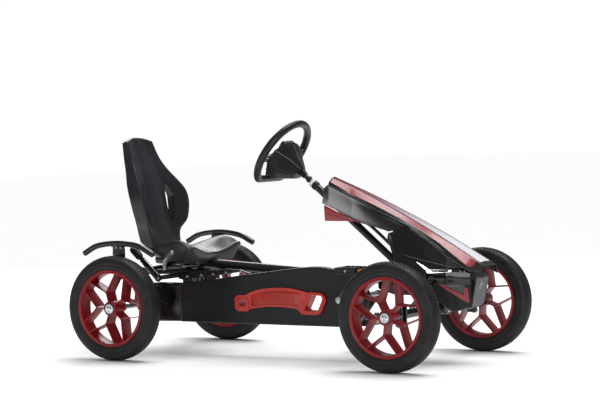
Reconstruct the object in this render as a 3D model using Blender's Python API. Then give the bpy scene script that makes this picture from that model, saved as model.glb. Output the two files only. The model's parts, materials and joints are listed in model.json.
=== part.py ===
"""Pedal go kart: four spoked wheels, bucket seat, chain guard, sloping nose and D-shaped steering wheel.

Metres. +X is forward, +Y is to the driver's left, +Z is up. The origin is on the floor under the middle of
the kart's overall length. Everything hangs on the empty "kart", which stands under the middle of the
wheelbase, so the places below are measured from there. Every moving body has an empty on its joint's axis.
"""

import math

import bmesh
import bpy
from mathutils import Matrix, Vector
from mathutils.geometry import tessellate_polygon

# Driving dimensions
MID_X = -0.0085  # middle of the wheelbase, seen from the middle of the overall length
WHEELBASE = 1.180
FRONT_TRACK = 0.756
REAR_TRACK = 0.799
WHEEL_RADIUS = 0.200
GAP = 0.0005  # between pieces that touch

FRONT_X = WHEELBASE / 2
REAR_X = -WHEELBASE / 2
AXLE_Z = WHEEL_RADIUS

# Wheels
TYRE_HALF_WIDTH = 0.0355
RIM_FLANGE_RADIUS = 0.147
RIM_BARREL_RADIUS = 0.138
RIM_INNER_RADIUS = 0.134
RIM_HALF_WIDTH = 0.033
SPOKE_THICKNESS = 0.006
SPOKE_FORK_RADIUS = 0.063
SPOKE_FORK_ANGLE = 27.0
HUB_RADIUS = 0.027
SPOKES = 5
SPINDLE_RADIUS = 0.010
BORE_RADIUS = 0.0105

# Main tube: a straight line that falls gently to the front
TUBE_RADIUS = 0.019
TUBE_Z = 0.322  # its centre over the middle of the wheelbase
TUBE_SLOPE = -0.05625
TUBE_REAR_X = -0.655
TUBE_FRONT_X = 0.425

# Rear frame
CROSS_X = -0.600
CROSS_Z = 0.325
CROSS_HALF = 0.3444
CARRIER_Y = 0.205
STAY_Z = 0.318  # the stays between the cross tube and the main tube
RAIL_Y = -0.113  # the rail over the chain guard
RAIL_GAP = 0.0125
BEARING_RADIUS = 0.021

# Steering column: a line in the middle plane, falling to the front
COLUMN_ANGLE = math.radians(40.0)
COLUMN_DOWN = Vector((math.cos(COLUMN_ANGLE), 0.0, -math.sin(COLUMN_ANGLE)))
COLUMN_UP_REAR = -COLUMN_DOWN
COLUMN_NORMAL = Vector((math.sin(COLUMN_ANGLE), 0.0, math.cos(COLUMN_ANGLE)))
COLUMN_TOP = Vector((0.0605, 0.0, 0.6655))  # the bush at the top of the fixed tube
COLUMN_LENGTH = 0.560
SHAFT_RADIUS = 0.0095
PITMAN_AT = 0.615  # along the column from its top
PITMAN_REACH = 0.085

# Steering wheel
STEER_AT = -0.1676
STEER_RADIUS = 0.1385
STEER_FLAT = 0.1125
STEER_CORNER = 0.030
STEER_GRIP = 0.0145
STEER_TILT = math.radians(6.0)

# Front axle
KINGPIN_Y = 0.300
YOKE_HALF = 0.0025
TIE_X = 0.497
TIE_Z = 0.190

# Crank and chain
CRANK_X = 0.255
CRANK_Z = 0.2325
CRANK_LENGTH = 0.145
CRANK_ANGLE = math.radians(54.0)
CRANK_ARM_Y = 0.149
CHAIN_Y = -0.113
CHAIN_HALF = 0.004
CHAINRING_TEETH = 34
SPROCKET_TEETH = 17
PITCH = 0.0127

# Chain guard
GUARD_FACE_Y = -0.130
GUARD_RIM_Y = -0.0965
HUB_COVER_Y = -0.122
GUARD_WALL = 0.0025
SEAM_X = -0.468
GUARD_TOP = [(-0.467, 0.2765), (-0.398, 0.2850), (-0.328, 0.2940), (-0.215, 0.3098), (-0.100, 0.3270),
             (0.010, 0.3400)]

# Seat and levers
SEAT_WALL = 0.004
SEAT_LEVER_PIVOT = (-0.487, 0.340)
BRAKE_PIVOT = (-0.459, 0.310)


# ---------------------------------------------------------------- plain shapes, as (points, faces)


def frame_of(axis):
    """Two unit vectors square to the axis and to each other."""
    axis = Vector(axis).normalized()
    helper = Vector((0, 0, 1)) if abs(axis.z) < 0.9 else Vector((1, 0, 0))
    first = axis.cross(helper).normalized()
    return first, axis.cross(first).normalized()


def circle(centre, axis, radius, count, turn=0.0):
    first, second = frame_of(axis)
    angles = [turn + 2 * math.pi * i / count for i in range(count)]
    return [Vector(centre) + radius * (math.cos(a) * first + math.sin(a) * second) for a in angles]


def skin(rings, holes=()):
    """A solid bounded by rings of equal length: the first and last rings are capped, with the holes left out.

    Each hole is a pair of loops, one in the plane of each cap.
    """
    points = []
    faces = []

    def put(loop):
        start = len(points)
        points.extend(Vector(p) for p in loop)
        return list(range(start, len(points)))

    def wall(lower, upper):
        count = len(lower)
        for i in range(count):
            j = (i + 1) % count
            faces.append((lower[i], lower[j], upper[j], upper[i]))

    ring_ids = [put(ring) for ring in rings]
    hole_ids = [(put(first), put(last)) for first, last in holes]
    for lower, upper in zip(ring_ids, ring_ids[1:]):
        wall(lower, upper)
    for first, last in hole_ids:
        wall(first, last)
    for loops in ([ring_ids[0]] + [h[0] for h in hole_ids], [ring_ids[-1]] + [h[1] for h in hole_ids]):
        flat = [i for loop in loops for i in loop]
        for triangle in tessellate_polygon([[points[i] for i in loop] for loop in loops]):
            faces.append(tuple(flat[i] for i in triangle))
    return points, faces


def side_plate(outline, y_from, y_to, holes=()):
    """A plate whose outline is given as (x, z), between two values of y."""

    def loop(shape, y):
        return [Vector((x, y, z)) for x, z in shape]

    return skin([loop(outline, y_from), loop(outline, y_to)],
                [(loop(h, y_from), loop(h, y_to)) for h in holes])


def box(low, high):
    (x0, y0, z0), (x1, y1, z1) = low, high
    return side_plate([(x0, z0), (x1, z0), (x1, z1), (x0, z1)], y0, y1)


def rod(start, end, radius, sides=16, bore=0.0):
    start, end = Vector(start), Vector(end)
    axis = end - start
    holes = []
    if bore:
        holes = [(circle(start, axis, bore, sides), circle(end, axis, bore, sides))]
    return skin([circle(start, axis, radius, sides), circle(end, axis, radius, sides)], holes)


def turned(profile, centre, axis, sides, holes=()):
    """Rings of (distance along the axis, radius), capped at both ends."""
    axis = Vector(axis).normalized()
    rings = [circle(Vector(centre) + along * axis, axis, radius, sides) for along, radius in profile]
    return skin(rings, holes)


def turned_loop(profile, centre, axis, sides):
    """A closed profile of (distance along the axis, radius), turned into a ring."""
    axis = Vector(axis).normalized()
    points = []
    faces = []
    for along, radius in profile:
        points.extend(circle(Vector(centre) + along * axis, axis, radius, sides))
    count = len(profile)
    for i in range(count):
        low, high = i * sides, ((i + 1) % count) * sides
        for j in range(sides):
            k = (j + 1) % sides
            faces.append((low + j, low + k, high + k, high + j))
    return points, faces


def smooth(points, per_span=4):
    """Points on a Catmull-Rom curve through the given ones."""
    points = [Vector(p) for p in points]
    ends = [2 * points[0] - points[1]] + points + [2 * points[-1] - points[-2]]
    result = []
    for i in range(len(points) - 1):
        a, b, c, d = ends[i : i + 4]
        for j in range(per_span):
            t = j / per_span
            result.append(
                0.5 * (2 * b + (c - a) * t + (2 * a - 5 * b + 4 * c - d) * t**2 + (3 * b - a - 3 * c + d) * t**3)
            )
    return result + [points[-1]]


def sweep(path, radius, sides=10, closed=False):
    """A round bar along a path. Its rings stay in step, so the bar doesn't twist."""
    path = [Vector(p) for p in path]
    count = len(path)

    def direction(i):
        if closed:
            return (path[(i + 1) % count] - path[i - 1]).normalized()
        return (path[min(i + 1, count - 1)] - path[max(i - 1, 0)]).normalized()

    side = frame_of(direction(0))[0]
    rings = []
    for i, point in enumerate(path):
        along = direction(i)
        side = (side - side.dot(along) * along).normalized()
        other = along.cross(side)
        angles = [2 * math.pi * j / sides for j in range(sides)]
        rings.append([point + radius * (math.cos(a) * side + math.sin(a) * other) for a in angles])
    if not closed:
        return skin(rings)
    points = [p for ring in rings for p in ring]
    faces = []
    for i in range(count):
        low, high = i * sides, ((i + 1) % count) * sides
        for j in range(sides):
            k = (j + 1) % sides
            faces.append((low + j, low + k, high + k, high + j))
    return points, faces


def inset(loop, distance):
    """The loop of (x, z) points moved inwards by a distance; the loop runs anticlockwise."""
    result = []
    count = len(loop)
    for i in range(count):
        before = Vector(loop[i]) - Vector(loop[i - 1])
        after = Vector(loop[(i + 1) % count]) - Vector(loop[i])
        normals = [Vector((-edge.y, edge.x)).normalized() for edge in (before, after)]
        middle = (normals[0] + normals[1]).normalized()
        result.append(tuple(Vector(loop[i]) + middle * distance / max(middle.dot(normals[0]), 0.3)))
    return result


def arc(centre, radius, start, end, count):
    """Points (x, z) on an arc, with its angles in degrees."""
    angles = [math.radians(start + (end - start) * i / (count - 1)) for i in range(count)]
    return [(centre[0] + radius * math.cos(a), centre[1] + radius * math.sin(a)) for a in angles]


def bar_outline(start, end, half_width, count=5):
    """The outline (x, z) of a flat bar with round ends."""
    turn = math.degrees(math.atan2(end[1] - start[1], end[0] - start[0]))
    return arc(end, half_width, turn - 90, turn + 90, count) + arc(start, half_width, turn + 90,
                                                                   turn + 270, count)


def gear_outline(centre, tip, root, teeth):
    outline = []
    for i in range(2 * teeth):
        angle = math.pi * i / teeth
        radius = tip if i % 2 == 0 else root
        outline.append((centre[0] + radius * math.cos(angle), centre[1] + radius * math.sin(angle)))
    return outline


def sheet(columns):
    """An open surface: one list of points for each column. A Solidify modifier gives it its thickness."""
    height = len(columns[0])
    points = [Vector(p) for column in columns for p in column]
    faces = []
    for i in range(len(columns) - 1):
        for j in range(height - 1):
            a = i * height + j
            faces.append((a, a + height, a + height + 1, a + 1))
    return points, faces


def mirrored(solid):
    points, faces = solid
    return [Vector((p.x, -p.y, p.z)) for p in points], [tuple(reversed(face)) for face in faces]


# ---------------------------------------------------------------- objects, bodies and materials


def body(name, place, parent=None):
    """An empty on the joint's axis of a body. Its place is measured from the kart empty."""
    empty = bpy.data.objects.new(name, None)
    bpy.context.scene.collection.objects.link(empty)
    empty.empty_display_size = 0.05
    empty["place"] = list(place)
    if parent is None:
        empty.location = place
    else:
        empty.parent = parent
        empty.location = Vector(place) - Vector(parent["place"])
    return empty


def paint(name, colour, roughness, metallic=0.0):
    material = bpy.data.materials.new(name)
    material.use_nodes = True
    shader = material.node_tree.nodes["Principled BSDF"]
    shader.inputs["Base Color"].default_value = (*colour, 1.0)
    shader.inputs["Roughness"].default_value = roughness
    shader.inputs["Metallic"].default_value = metallic
    material.diffuse_color = (*colour, 1.0)
    return material


def mesh_object(name, solid, owner, closed=True):
    origin = Vector(owner["place"])
    points, faces = solid
    mesh = bpy.data.meshes.new(name)
    mesh.from_pydata([p - origin for p in points], [], faces)
    if closed:
        work = bmesh.new()
        work.from_mesh(mesh)
        bmesh.ops.recalc_face_normals(work, faces=work.faces)
        if work.calc_volume(signed=True) < 0:
            bmesh.ops.reverse_faces(work, faces=work.faces)
        work.to_mesh(mesh)
        work.free()
    obj = bpy.data.objects.new(name, mesh)
    bpy.context.scene.collection.objects.link(obj)
    obj.parent = owner
    return obj


def part(name, solid, owner, material, joined=(), cut=()):
    """A sub-part: one solid, with others joined to it and others cut out of it."""
    obj = mesh_object(name, solid, owner)
    combine(obj, owner, joined, cut)
    finish(obj, material)
    return obj


def combine(obj, owner, joined, cut):
    """Joins solids to the object and cuts others out of it."""
    for operation, solids in (("UNION", joined), ("DIFFERENCE", cut)):
        for i, extra in enumerate(solids):
            helper = mesh_object(f"{obj.name}_{operation.lower()}_{i}", extra, owner)
            helper.hide_render = True
            helper.display_type = "WIRE"
            modifier = obj.modifiers.new(f"{operation.lower()}_{i}", "BOOLEAN")
            modifier.operation = operation
            modifier.solver = "EXACT"
            modifier.object = helper


def shell(name, surface, owner, material, thickness, outwards=False, joined=(), cut=()):
    """A sub-part made of one sheet, thickened to the side that its faces point away from."""
    obj = mesh_object(name, surface, owner, closed=False)
    modifier = obj.modifiers.new("thickness", "SOLIDIFY")
    modifier.thickness = thickness
    modifier.offset = 1.0 if outwards else -1.0
    modifier.use_even_offset = True
    combine(obj, owner, joined, cut)
    finish(obj, material)
    return obj


def finish(obj, material):
    obj.data.materials.append(material)
    obj.data.shade_smooth()
    obj.data.set_sharp_from_angle(angle=math.radians(35))


# ---------------------------------------------------------------- wheels


def spoke_windows(centre, phase):
    """The openings between the spokes: one inside each fork, and one between each pair of forks."""
    half = SPOKE_THICKNESS / 2
    edge = RIM_INNER_RADIUS + half

    def polar(radius, angle):
        turn = math.radians(angle)
        return centre[0] + radius * math.cos(turn), centre[1] + radius * math.sin(turn)

    windows = []
    for i in range(SPOKES):
        arm = phase + 360 / SPOKES * i
        following = arm + 360 / SPOKES
        inside = [polar(SPOKE_FORK_RADIUS, arm)]
        inside += arc(centre, edge, arm - SPOKE_FORK_ANGLE, arm + SPOKE_FORK_ANGLE, 7)
        between = arc(centre, edge, arm + SPOKE_FORK_ANGLE, following - SPOKE_FORK_ANGLE, 3)
        between += [polar(SPOKE_FORK_RADIUS, following)]
        between += arc(centre, HUB_RADIUS, following, arm, 4)
        between += [polar(SPOKE_FORK_RADIUS, arm)]
        windows += [inset(inside, half), inset(between, half)]
    return windows


def wheel(prefix, owner, centre, phase, bore):
    """A tyre, a one-piece spoked rim and a hub cap. The outer side is the one away from the middle plane."""
    x, y, z = centre
    out = 1 if y > 0 else -1
    sides = 32
    lip = 0.003
    rings = [
        (-RIM_HALF_WIDTH, RIM_FLANGE_RADIUS),
        (-RIM_HALF_WIDTH + lip, RIM_FLANGE_RADIUS),
        (-RIM_HALF_WIDTH + lip, RIM_BARREL_RADIUS),
        (RIM_HALF_WIDTH - lip, RIM_BARREL_RADIUS),
        (RIM_HALF_WIDTH - lip, RIM_FLANGE_RADIUS),
        (RIM_HALF_WIDTH, RIM_FLANGE_RADIUS),
    ]
    loops = [[(p.x, p.z) for p in circle(centre, (0, 1, 0), radius, sides)] for _, radius in rings]
    levels = [y + along for along, _ in rings]
    windows = spoke_windows((x, z), phase) + [[(p.x, p.z) for p in circle(centre, (0, 1, 0), bore, 16)]]

    def at(loop, level):
        return [Vector((px, level, pz)) for px, pz in loop]

    rim = skin(
        [at(loop, level) for loop, level in zip(loops, levels)],
        [(at(w, levels[0]), at(w, levels[-1])) for w in windows],
    )
    part(f"{prefix}_rim", rim, owner, RED_RIM)

    bead = RIM_HALF_WIDTH - lip - GAP
    seat = RIM_BARREL_RADIUS + GAP
    outside = [(bead, seat), (bead, 0.1480), (0.0350, 0.1530), (TYRE_HALF_WIDTH, 0.1720),
               (0.0290, 0.1920)]
    inside = [(0.0220, seat), (0.0290, 0.1720)]
    profile = [(-a, r) for a, r in outside] + [(0.0, WHEEL_RADIUS)] + outside[::-1]
    profile += inside + [(0.0, 0.1930)] + [(-a, r) for a, r in inside[::-1]]
    part(f"{prefix}_tyre", turned_loop(profile, centre, (0, 1, 0), 32), owner, BLACK_RUBBER)

    face = RIM_HALF_WIDTH + GAP
    cap = turned([(face, 0.0225), (face + 0.0028, 0.0225), (face + 0.0042, 0.0190)], centre, (0, out, 0),
                 20)
    part(f"{prefix}_hub_cap", cap, owner, SATIN_STEEL)


# ---------------------------------------------------------------- main frame and rear axle


def tube_z(x):
    return TUBE_Z + TUBE_SLOPE * x


def side_rail_outline():
    """The rail over the chain guard: a straight top edge, and feet that reach down to the guard's top edge."""
    outline = [(-0.482, 0.3120), (-0.482, 0.2925)]
    for rear, front in ((-0.463, -0.421), (-0.381, -0.370), (-0.344, -0.296), (-0.268, -0.259)):
        for x, foot in ((rear, False), (rear, True), (front, True), (front, False)):
            outline.append((x, guard_top_z(x) + (0.0006 if foot else RAIL_GAP)))
    outline += [(-0.191, guard_top_z(-0.191) + RAIL_GAP), (-0.150, guard_top_z(-0.150) + 0.0006)]
    return outline + [(-0.200, 0.3345), (-0.259, 0.3350), (-0.467, 0.3155)]


def guard_top_z(x):
    """The height of the guard's top edge behind the crank."""
    return between(x, GUARD_TOP)


def main_frame(owner):
    """The welded frame: main tube, rear cross tube with axle carriers and stays, crank bracket, side rail and yoke."""
    main_tube = rod((TUBE_REAR_X, 0, tube_z(TUBE_REAR_X)), (TUBE_FRONT_X, 0, tube_z(TUBE_FRONT_X)),
                    TUBE_RADIUS, 16)
    cross = rod((CROSS_X, -CROSS_HALF, CROSS_Z), (CROSS_X, CROSS_HALF, CROSS_Z), 0.016, 12)
    carriers = []
    for side in (-1, 1):
        outline = [(-0.622, 0.333), (-0.632, 0.205)] + arc((REAR_X, AXLE_Z), 0.034, 190, 350, 7)
        outline += [(-0.548, 0.205), (-0.578, 0.333)]
        hole = arc((REAR_X, AXLE_Z), BEARING_RADIUS + GAP, 0, 360 - 360 / 16, 16)
        carriers.append(side_plate(outline, side * (CARRIER_Y - 0.003), side * (CARRIER_Y + 0.003),
                                   [hole]))
    outrigger = rod((BRAKE_PIVOT[0], 0, BRAKE_PIVOT[1]), (BRAKE_PIVOT[0], -0.2875, BRAKE_PIVOT[1]), 0.009,
                    12)
    gusset = box((BRAKE_PIVOT[0] - 0.010, -0.011, 0.304), (BRAKE_PIVOT[0] + 0.010, 0.013, 0.337))
    stays = [rod((CROSS_X, side * 0.130, STAY_Z), (-0.340, side * 0.012, STAY_Z), 0.0095, 12)
             for side in (-1, 1)]
    brake_pin = rod((BRAKE_PIVOT[0], -0.280, BRAKE_PIVOT[1]), (BRAKE_PIVOT[0], -0.298, BRAKE_PIVOT[1]),
                    0.0035, 8)
    hangers = []
    for y in (-0.020, 0.020):
        outline = [(0.205, tube_z(0.205)), (0.241, CRANK_Z + 0.0185), (0.269, CRANK_Z + 0.0185),
                   (0.305, tube_z(0.305))]
        hangers.append(side_plate(outline, y - 0.003, y + 0.003))
    bracket = rod((CRANK_X, -0.036, CRANK_Z), (CRANK_X, 0.036, CRANK_Z), 0.022, 16, 0.0165)
    cheeks = []
    cheek = [(0.360, 0.268), (0.430, 0.247), (0.640, 0.247), (0.640, 0.266), (0.540, 0.300),
             (0.360, 0.318)]
    for y in (-0.034, 0.034):
        cheeks.append(side_plate(cheek, y - YOKE_HALF, y + YOKE_HALF))
    saddle = box((0.362, -0.035, 0.290), (0.412, 0.035, 0.306))
    ends = [box((x - 0.0025, -0.035, 0.178), (x + 0.0025, 0.035, 0.258)) for x in (0.547, 0.633)]
    pin = rod((0.538, 0, AXLE_Z), (0.642, 0, AXLE_Z), 0.008, 12)
    rail = side_plate(side_rail_outline(), RAIL_Y - 0.005, RAIL_Y + 0.005)
    joined = [cross, *carriers, *stays, outrigger, rail, gusset, brake_pin, *hangers, bracket, *cheeks,
              saddle, *ends, pin]
    part("main_frame", main_tube, owner, BLACK_PAINT, joined)


def rear_axle(owner, wheel_owner, frame):
    """The live axle turns the right wheel and carries the sprocket. The left wheel is free on it."""
    axis = (0, 1, 0)
    reach = REAR_TRACK / 2 + RIM_HALF_WIDTH - 0.001
    shaft = rod((REAR_X, -reach, AXLE_Z), (REAR_X, reach, AXLE_Z), SPINDLE_RADIUS, 16)
    part("rear_axle_shaft", shaft, owner, SATIN_STEEL)
    centre = (REAR_X, AXLE_Z)
    bore = arc(centre, BORE_RADIUS, 0, 360 - 360 / 16, 16)
    pitch_radius = SPROCKET_TEETH * PITCH / (2 * math.pi)
    teeth = gear_outline(centre, pitch_radius + 0.002, pitch_radius - 0.002, SPROCKET_TEETH)
    sprocket = side_plate(teeth, CHAIN_Y - 0.002, CHAIN_Y + 0.002, [bore])
    part("drive_sprocket", sprocket, owner, SATIN_STEEL)
    drum = turned_loop([(0.100, 0.0106), (0.100, 0.045), (0.128, 0.045), (0.128, 0.0106)],
                       (REAR_X, 0, AXLE_Z), axis, 20)
    part("brake_drum", drum, owner, SATIN_STEEL)
    for name, side in (("right", -1), ("left", 1)):
        place = (REAR_X, side * CARRIER_Y, AXLE_Z)
        bearing = turned_loop([(-0.006, 0.0105), (-0.006, BEARING_RADIUS), (0.006, BEARING_RADIUS),
                               (0.006, 0.0105)], place, axis, 16)
        part(f"rear_bearing_{name}", bearing, frame, SATIN_STEEL)
    wheel("rear_right", owner, (REAR_X, -REAR_TRACK / 2, AXLE_Z), 34.0, BORE_RADIUS)
    wheel("rear_left", wheel_owner, (REAR_X, REAR_TRACK / 2, AXLE_Z), 20.0, BORE_RADIUS)
    shoe = arc(centre, 0.0465, 60, 120, 5) + arc(centre, 0.0540, 120, 60, 5)
    stay = box((-0.598, 0.104, 0.2538), (-0.582, 0.124, CROSS_Z - 0.0165))
    part("brake_shoe", side_plate(shoe, 0.102, 0.126), frame, BLACK_PAINT, [stay])


def fender_bars(frame):
    """A bent round bar over each rear tyre, on a flat bracket that is bolted to the cross tube's end."""
    for name, side in (("right", -1), ("left", 1)):
        y = side * 0.360
        path = smooth([(-0.752, y, 0.404), (-0.690, y, 0.434), (-0.594, y, 0.4455), (-0.500, y, 0.434),
                       (-0.435, y, 0.404)], 4)
        low, high = sorted((side * 0.3450, side * 0.3505))
        bracket = side_plate([(-0.622, 0.306), (-0.578, 0.306), (-0.572, 0.440), (-0.628, 0.440)], low,
                             high)
        part(f"fender_bar_{name}", sweep(path, 0.0115, 12), frame, BLACK_PAINT, [bracket])


# ---------------------------------------------------------------- steering and front axle


def along_column(distance, side=0.0, above=0.0):
    return COLUMN_TOP + COLUMN_DOWN * distance + Vector((0, side, 0)) + COLUMN_NORMAL * above


def column(frame):
    tube = rod(along_column(0.012), along_column(COLUMN_LENGTH), 0.014, 16, 0.0108)
    stay = sweep([along_column(0.250, 0, 0.0168), along_column(0.290, 0, 0.036),
                  along_column(0.420, 0, 0.036)], 0.006, 8)
    part("column_tube", tube, frame, BLACK_PAINT, [stay])
    for name, start in (("upper", -0.0005), ("lower", COLUMN_LENGTH + 0.0005)):
        radius = 0.017 if name == "upper" else 0.014
        bush = rod(along_column(start), along_column(start + 0.012), radius, 16, 0.0101)
        part(f"{name}_column_bush", bush, frame, WHITE_NYLON)


def steering(owner):
    """Shaft with its pitman arm, D-shaped wheel with three spokes, and the faceted cover under the spokes."""
    shaft = rod(along_column(STEER_AT + 0.012), along_column(PITMAN_AT + 0.003), SHAFT_RADIUS, 16)
    part("steering_shaft", shaft, owner, SATIN_STEEL)

    def plate_ring(distance, half_top, half_low, reach):
        corners = [(-half_top, 0.014), (half_top, 0.014), (half_low, -reach), (-half_low, -reach)]
        return [along_column(distance, side, above) for side, above in corners]

    start = PITMAN_AT + 0.0035
    arm = skin([plate_ring(start, 0.013, 0.019, PITMAN_REACH + 0.0055),
                plate_ring(start + 0.005, 0.013, 0.019, PITMAN_REACH + 0.0055)])
    studs = [
        rod(along_column(start + 0.004, side, -PITMAN_REACH),
            along_column(start + 0.009, side, -PITMAN_REACH), 0.004, 8)
        for side in (-0.013, 0.013)
    ]
    part("pitman_arm", arm, owner, BLACK_PAINT, studs)

    centre = along_column(STEER_AT)
    lift = COLUMN_ANGLE - STEER_TILT
    up = Vector((math.sin(lift), 0, math.cos(lift)))
    facing = Vector((-math.cos(lift), 0, math.sin(lift)))

    def on_wheel(side, above, towards=0.0):
        return centre + Vector((0, side, 0)) + up * above + facing * towards

    height = -STEER_FLAT + STEER_CORNER
    reach = math.sqrt((STEER_RADIUS - STEER_CORNER) ** 2 - height**2)
    start_angle = math.degrees(math.atan2(height, reach))
    outline = arc((0, 0), STEER_RADIUS, start_angle, 180 - start_angle, 19)
    outline += arc((-reach, height), STEER_CORNER, 180 - start_angle, 270, 4)[1:]
    outline += arc((reach, height), STEER_CORNER, 270, 360 + start_angle, 4)[:-1]
    rim = sweep([on_wheel(side, above) for side, above in outline], STEER_GRIP, 8, closed=True)

    half = [(0.018, -0.110), (0.022, -0.028), (0.130, -0.031), (0.133, -0.006), (0.024, 0.012)]
    spokes = half + [(-side, above) for side, above in half[::-1]]
    plate = skin([[on_wheel(a, b, level) for a, b in spokes] for level in (-0.0063, 0.0021)])
    half = [(0.034, 0.056), (0.040, 0.048), (0.036, -0.045), (0.024, -0.055)]
    pad = half + [(-side, above) for side, above in half[::-1]]
    hub = skin([[on_wheel(a, b, level) for a, b in pad] for level in (-0.0075, 0.0120)])
    part("steering_wheel", rim, owner, BLACK_GRIP, [plate, hub])

    back = [(0.0, 0.060), (0.040, 0.057), (0.103, 0.033), (0.116, -0.014), (0.066, -0.086), (0.0, -0.094)]
    middle = [(0.0, 0.035), (0.020, 0.031), (0.056, 0.024), (0.101, -0.016), (0.053, -0.071), (0.0, -0.077)]
    front = [(0.0, 0.0185), (0.012, 0.0175), (0.030, 0.006), (0.0368, -0.011), (0.021, -0.0315),
             (0.0, -0.034)]
    rings = []
    for distance, half, lean in ((STEER_AT + 0.0105, back, math.sin(STEER_TILT)), (-0.110, middle, 0.0),
                                 (-0.060, front, 0.0)):
        outline = [(-side, above) for side, above in half[:0:-1]] + half[:-1]
        rings.append([along_column(distance - lean * above, side, above) for side, above in outline])
    bore = rod(along_column(-0.17), along_column(-0.05), SHAFT_RADIUS + GAP, 12)
    part("steering_housing", skin(rings), owner, BLACK_PLASTIC, (), [bore])


def front_axle(owner):
    beam = rod((FRONT_X, -KINGPIN_Y + 0.018, AXLE_Z), (FRONT_X, KINGPIN_Y - 0.018, AXLE_Z), 0.0165, 12)
    bush = rod((0.5505, 0, AXLE_Z), (0.6295, 0, AXLE_Z), 0.022, 16, 0.0088)
    joined = [bush]
    cuts = [rod((0.54, 0, AXLE_Z), (0.64, 0, AXLE_Z), 0.0088, 16)]
    for side in (-1, 1):
        y = side * KINGPIN_Y
        inner, outer = sorted((side * (KINGPIN_Y - 0.026), side * (KINGPIN_Y - 0.018)))
        joined.append(box((FRONT_X - 0.018, inner, AXLE_Z - 0.040),
                          (FRONT_X + 0.018, outer, AXLE_Z + 0.040)))
        for level in (-0.038, 0.038):
            outline = [(FRONT_X - 0.018, y - side * 0.022), (FRONT_X + 0.018, y - side * 0.022)]
            outline += [(FRONT_X + 0.014, y + side * 0.014), (FRONT_X - 0.014, y + side * 0.014)]
            rings = [[Vector((px, py, AXLE_Z + level + dz)) for px, py in outline]
                     for dz in (-0.003, 0.003)]
            joined.append(skin(rings))
        joined.append(rod((FRONT_X, y, AXLE_Z - 0.046), (FRONT_X, y, AXLE_Z + 0.046), 0.006, 10))
    part("front_axle_beam", beam, owner, BLACK_PAINT, joined, cuts)


def stub_axle(name, owner, side):
    """Kingpin sleeve, wheel spindle and steering arm, as one forging."""
    y = side * KINGPIN_Y
    sleeve = rod((FRONT_X, y, AXLE_Z - 0.0345), (FRONT_X, y, AXLE_Z + 0.0345), 0.0125, 16)
    spindle = rod((FRONT_X, y + side * 0.008, AXLE_Z),
                  (FRONT_X, side * (FRONT_TRACK / 2 + RIM_HALF_WIDTH - 0.001), AXLE_Z), 0.010, 16)
    collar = rod((FRONT_X, y + side * 0.008, AXLE_Z),
                 (FRONT_X, side * (FRONT_TRACK / 2 - TYRE_HALF_WIDTH - 0.002), AXLE_Z), 0.015, 12)
    outline = [(FRONT_X - 0.004, y - side * 0.009), (FRONT_X - 0.004, y + side * 0.009),
               (TIE_X - 0.009, y + side * 0.009), (TIE_X - 0.009, y - side * 0.009)]
    arm = skin([[Vector((px, py, z)) for px, py in outline] for z in (TIE_Z + 0.0085, TIE_Z + 0.0145)])
    stud = rod((TIE_X, y, TIE_Z - 0.010), (TIE_X, y, TIE_Z + 0.010), 0.004, 8)
    bore = rod((FRONT_X, y, AXLE_Z - 0.04), (FRONT_X, y, AXLE_Z + 0.04), 0.0067, 10)
    part(f"stub_axle_{name}", sleeve, owner, BLACK_PAINT, [spindle, collar, arm, stud], [bore])


def tie_rod(name, owner, side):
    """A rod with a ring at its outer end, on the steering arm's stud, and a flat eye at its inner end."""
    outer = Vector((TIE_X, side * KINGPIN_Y, TIE_Z))
    inner = Vector((0.486, side * 0.013, TIE_Z - 0.004))
    along = (inner - outer).normalized()
    bar = rod(outer + along * 0.008, inner - along * 0.004, 0.0045, 10)
    eye = rod(outer - Vector((0, 0, 0.0065)), outer + Vector((0, 0, 0.0065)), 0.0110, 12)
    knob = rod(inner - Vector((0, 0, 0.006)), inner + Vector((0, 0, 0.006)), 0.0085, 12)
    bore = rod(outer - Vector((0, 0, 0.02)), outer + Vector((0, 0, 0.02)), 0.0046, 8)
    part(f"tie_rod_{name}", bar, owner, SATIN_STEEL, [eye, knob], [bore])


# ---------------------------------------------------------------- crank, chain and guard


def pedal_place(side):
    """The pedal axle: the right pedal is up and forward, the left one opposite."""
    reach = CRANK_LENGTH * (-side)
    return CRANK_X + reach * math.cos(CRANK_ANGLE), CRANK_Z + reach * math.sin(CRANK_ANGLE)


def crank(owner, frame):
    spindle = rod((CRANK_X, -0.1545, CRANK_Z), (CRANK_X, 0.1545, CRANK_Z), 0.011, 16)
    joined = []
    for side in (-1, 1):
        low, high = sorted((side * (CRANK_ARM_Y - 0.006), side * (CRANK_ARM_Y + 0.006)))
        outline = bar_outline((CRANK_X, CRANK_Z), pedal_place(side), 0.014)
        joined.append(side_plate(outline, low, high))
        x, z = pedal_place(side)
        joined.append(rod((x, side * 0.152, z), (x, side * 0.252, z), 0.006, 10))
    part("crank", spindle, owner, BLACK_PAINT, joined)
    bush = rod((CRANK_X, -0.0355, CRANK_Z), (CRANK_X, 0.0355, CRANK_Z), 0.0160, 16, 0.0115)
    part("crank_bush", bush, frame, WHITE_NYLON)
    centre = (CRANK_X, CRANK_Z)
    pitch_radius = CHAINRING_TEETH * PITCH / (2 * math.pi)
    teeth = gear_outline(centre, pitch_radius + 0.002, pitch_radius - 0.002, CHAINRING_TEETH)
    bore = arc(centre, 0.0115, 0, 360 - 360 / 16, 16)
    windows = [arc((CRANK_X + 0.040 * math.cos(a), CRANK_Z + 0.040 * math.sin(a)), 0.014, 0, 315, 8)
               for a in (2 * math.pi * i / 5 for i in range(5))]
    part("chainring", side_plate(teeth, CHAIN_Y - 0.002, CHAIN_Y + 0.002, [bore, *windows]), owner,
         SATIN_STEEL)


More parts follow.
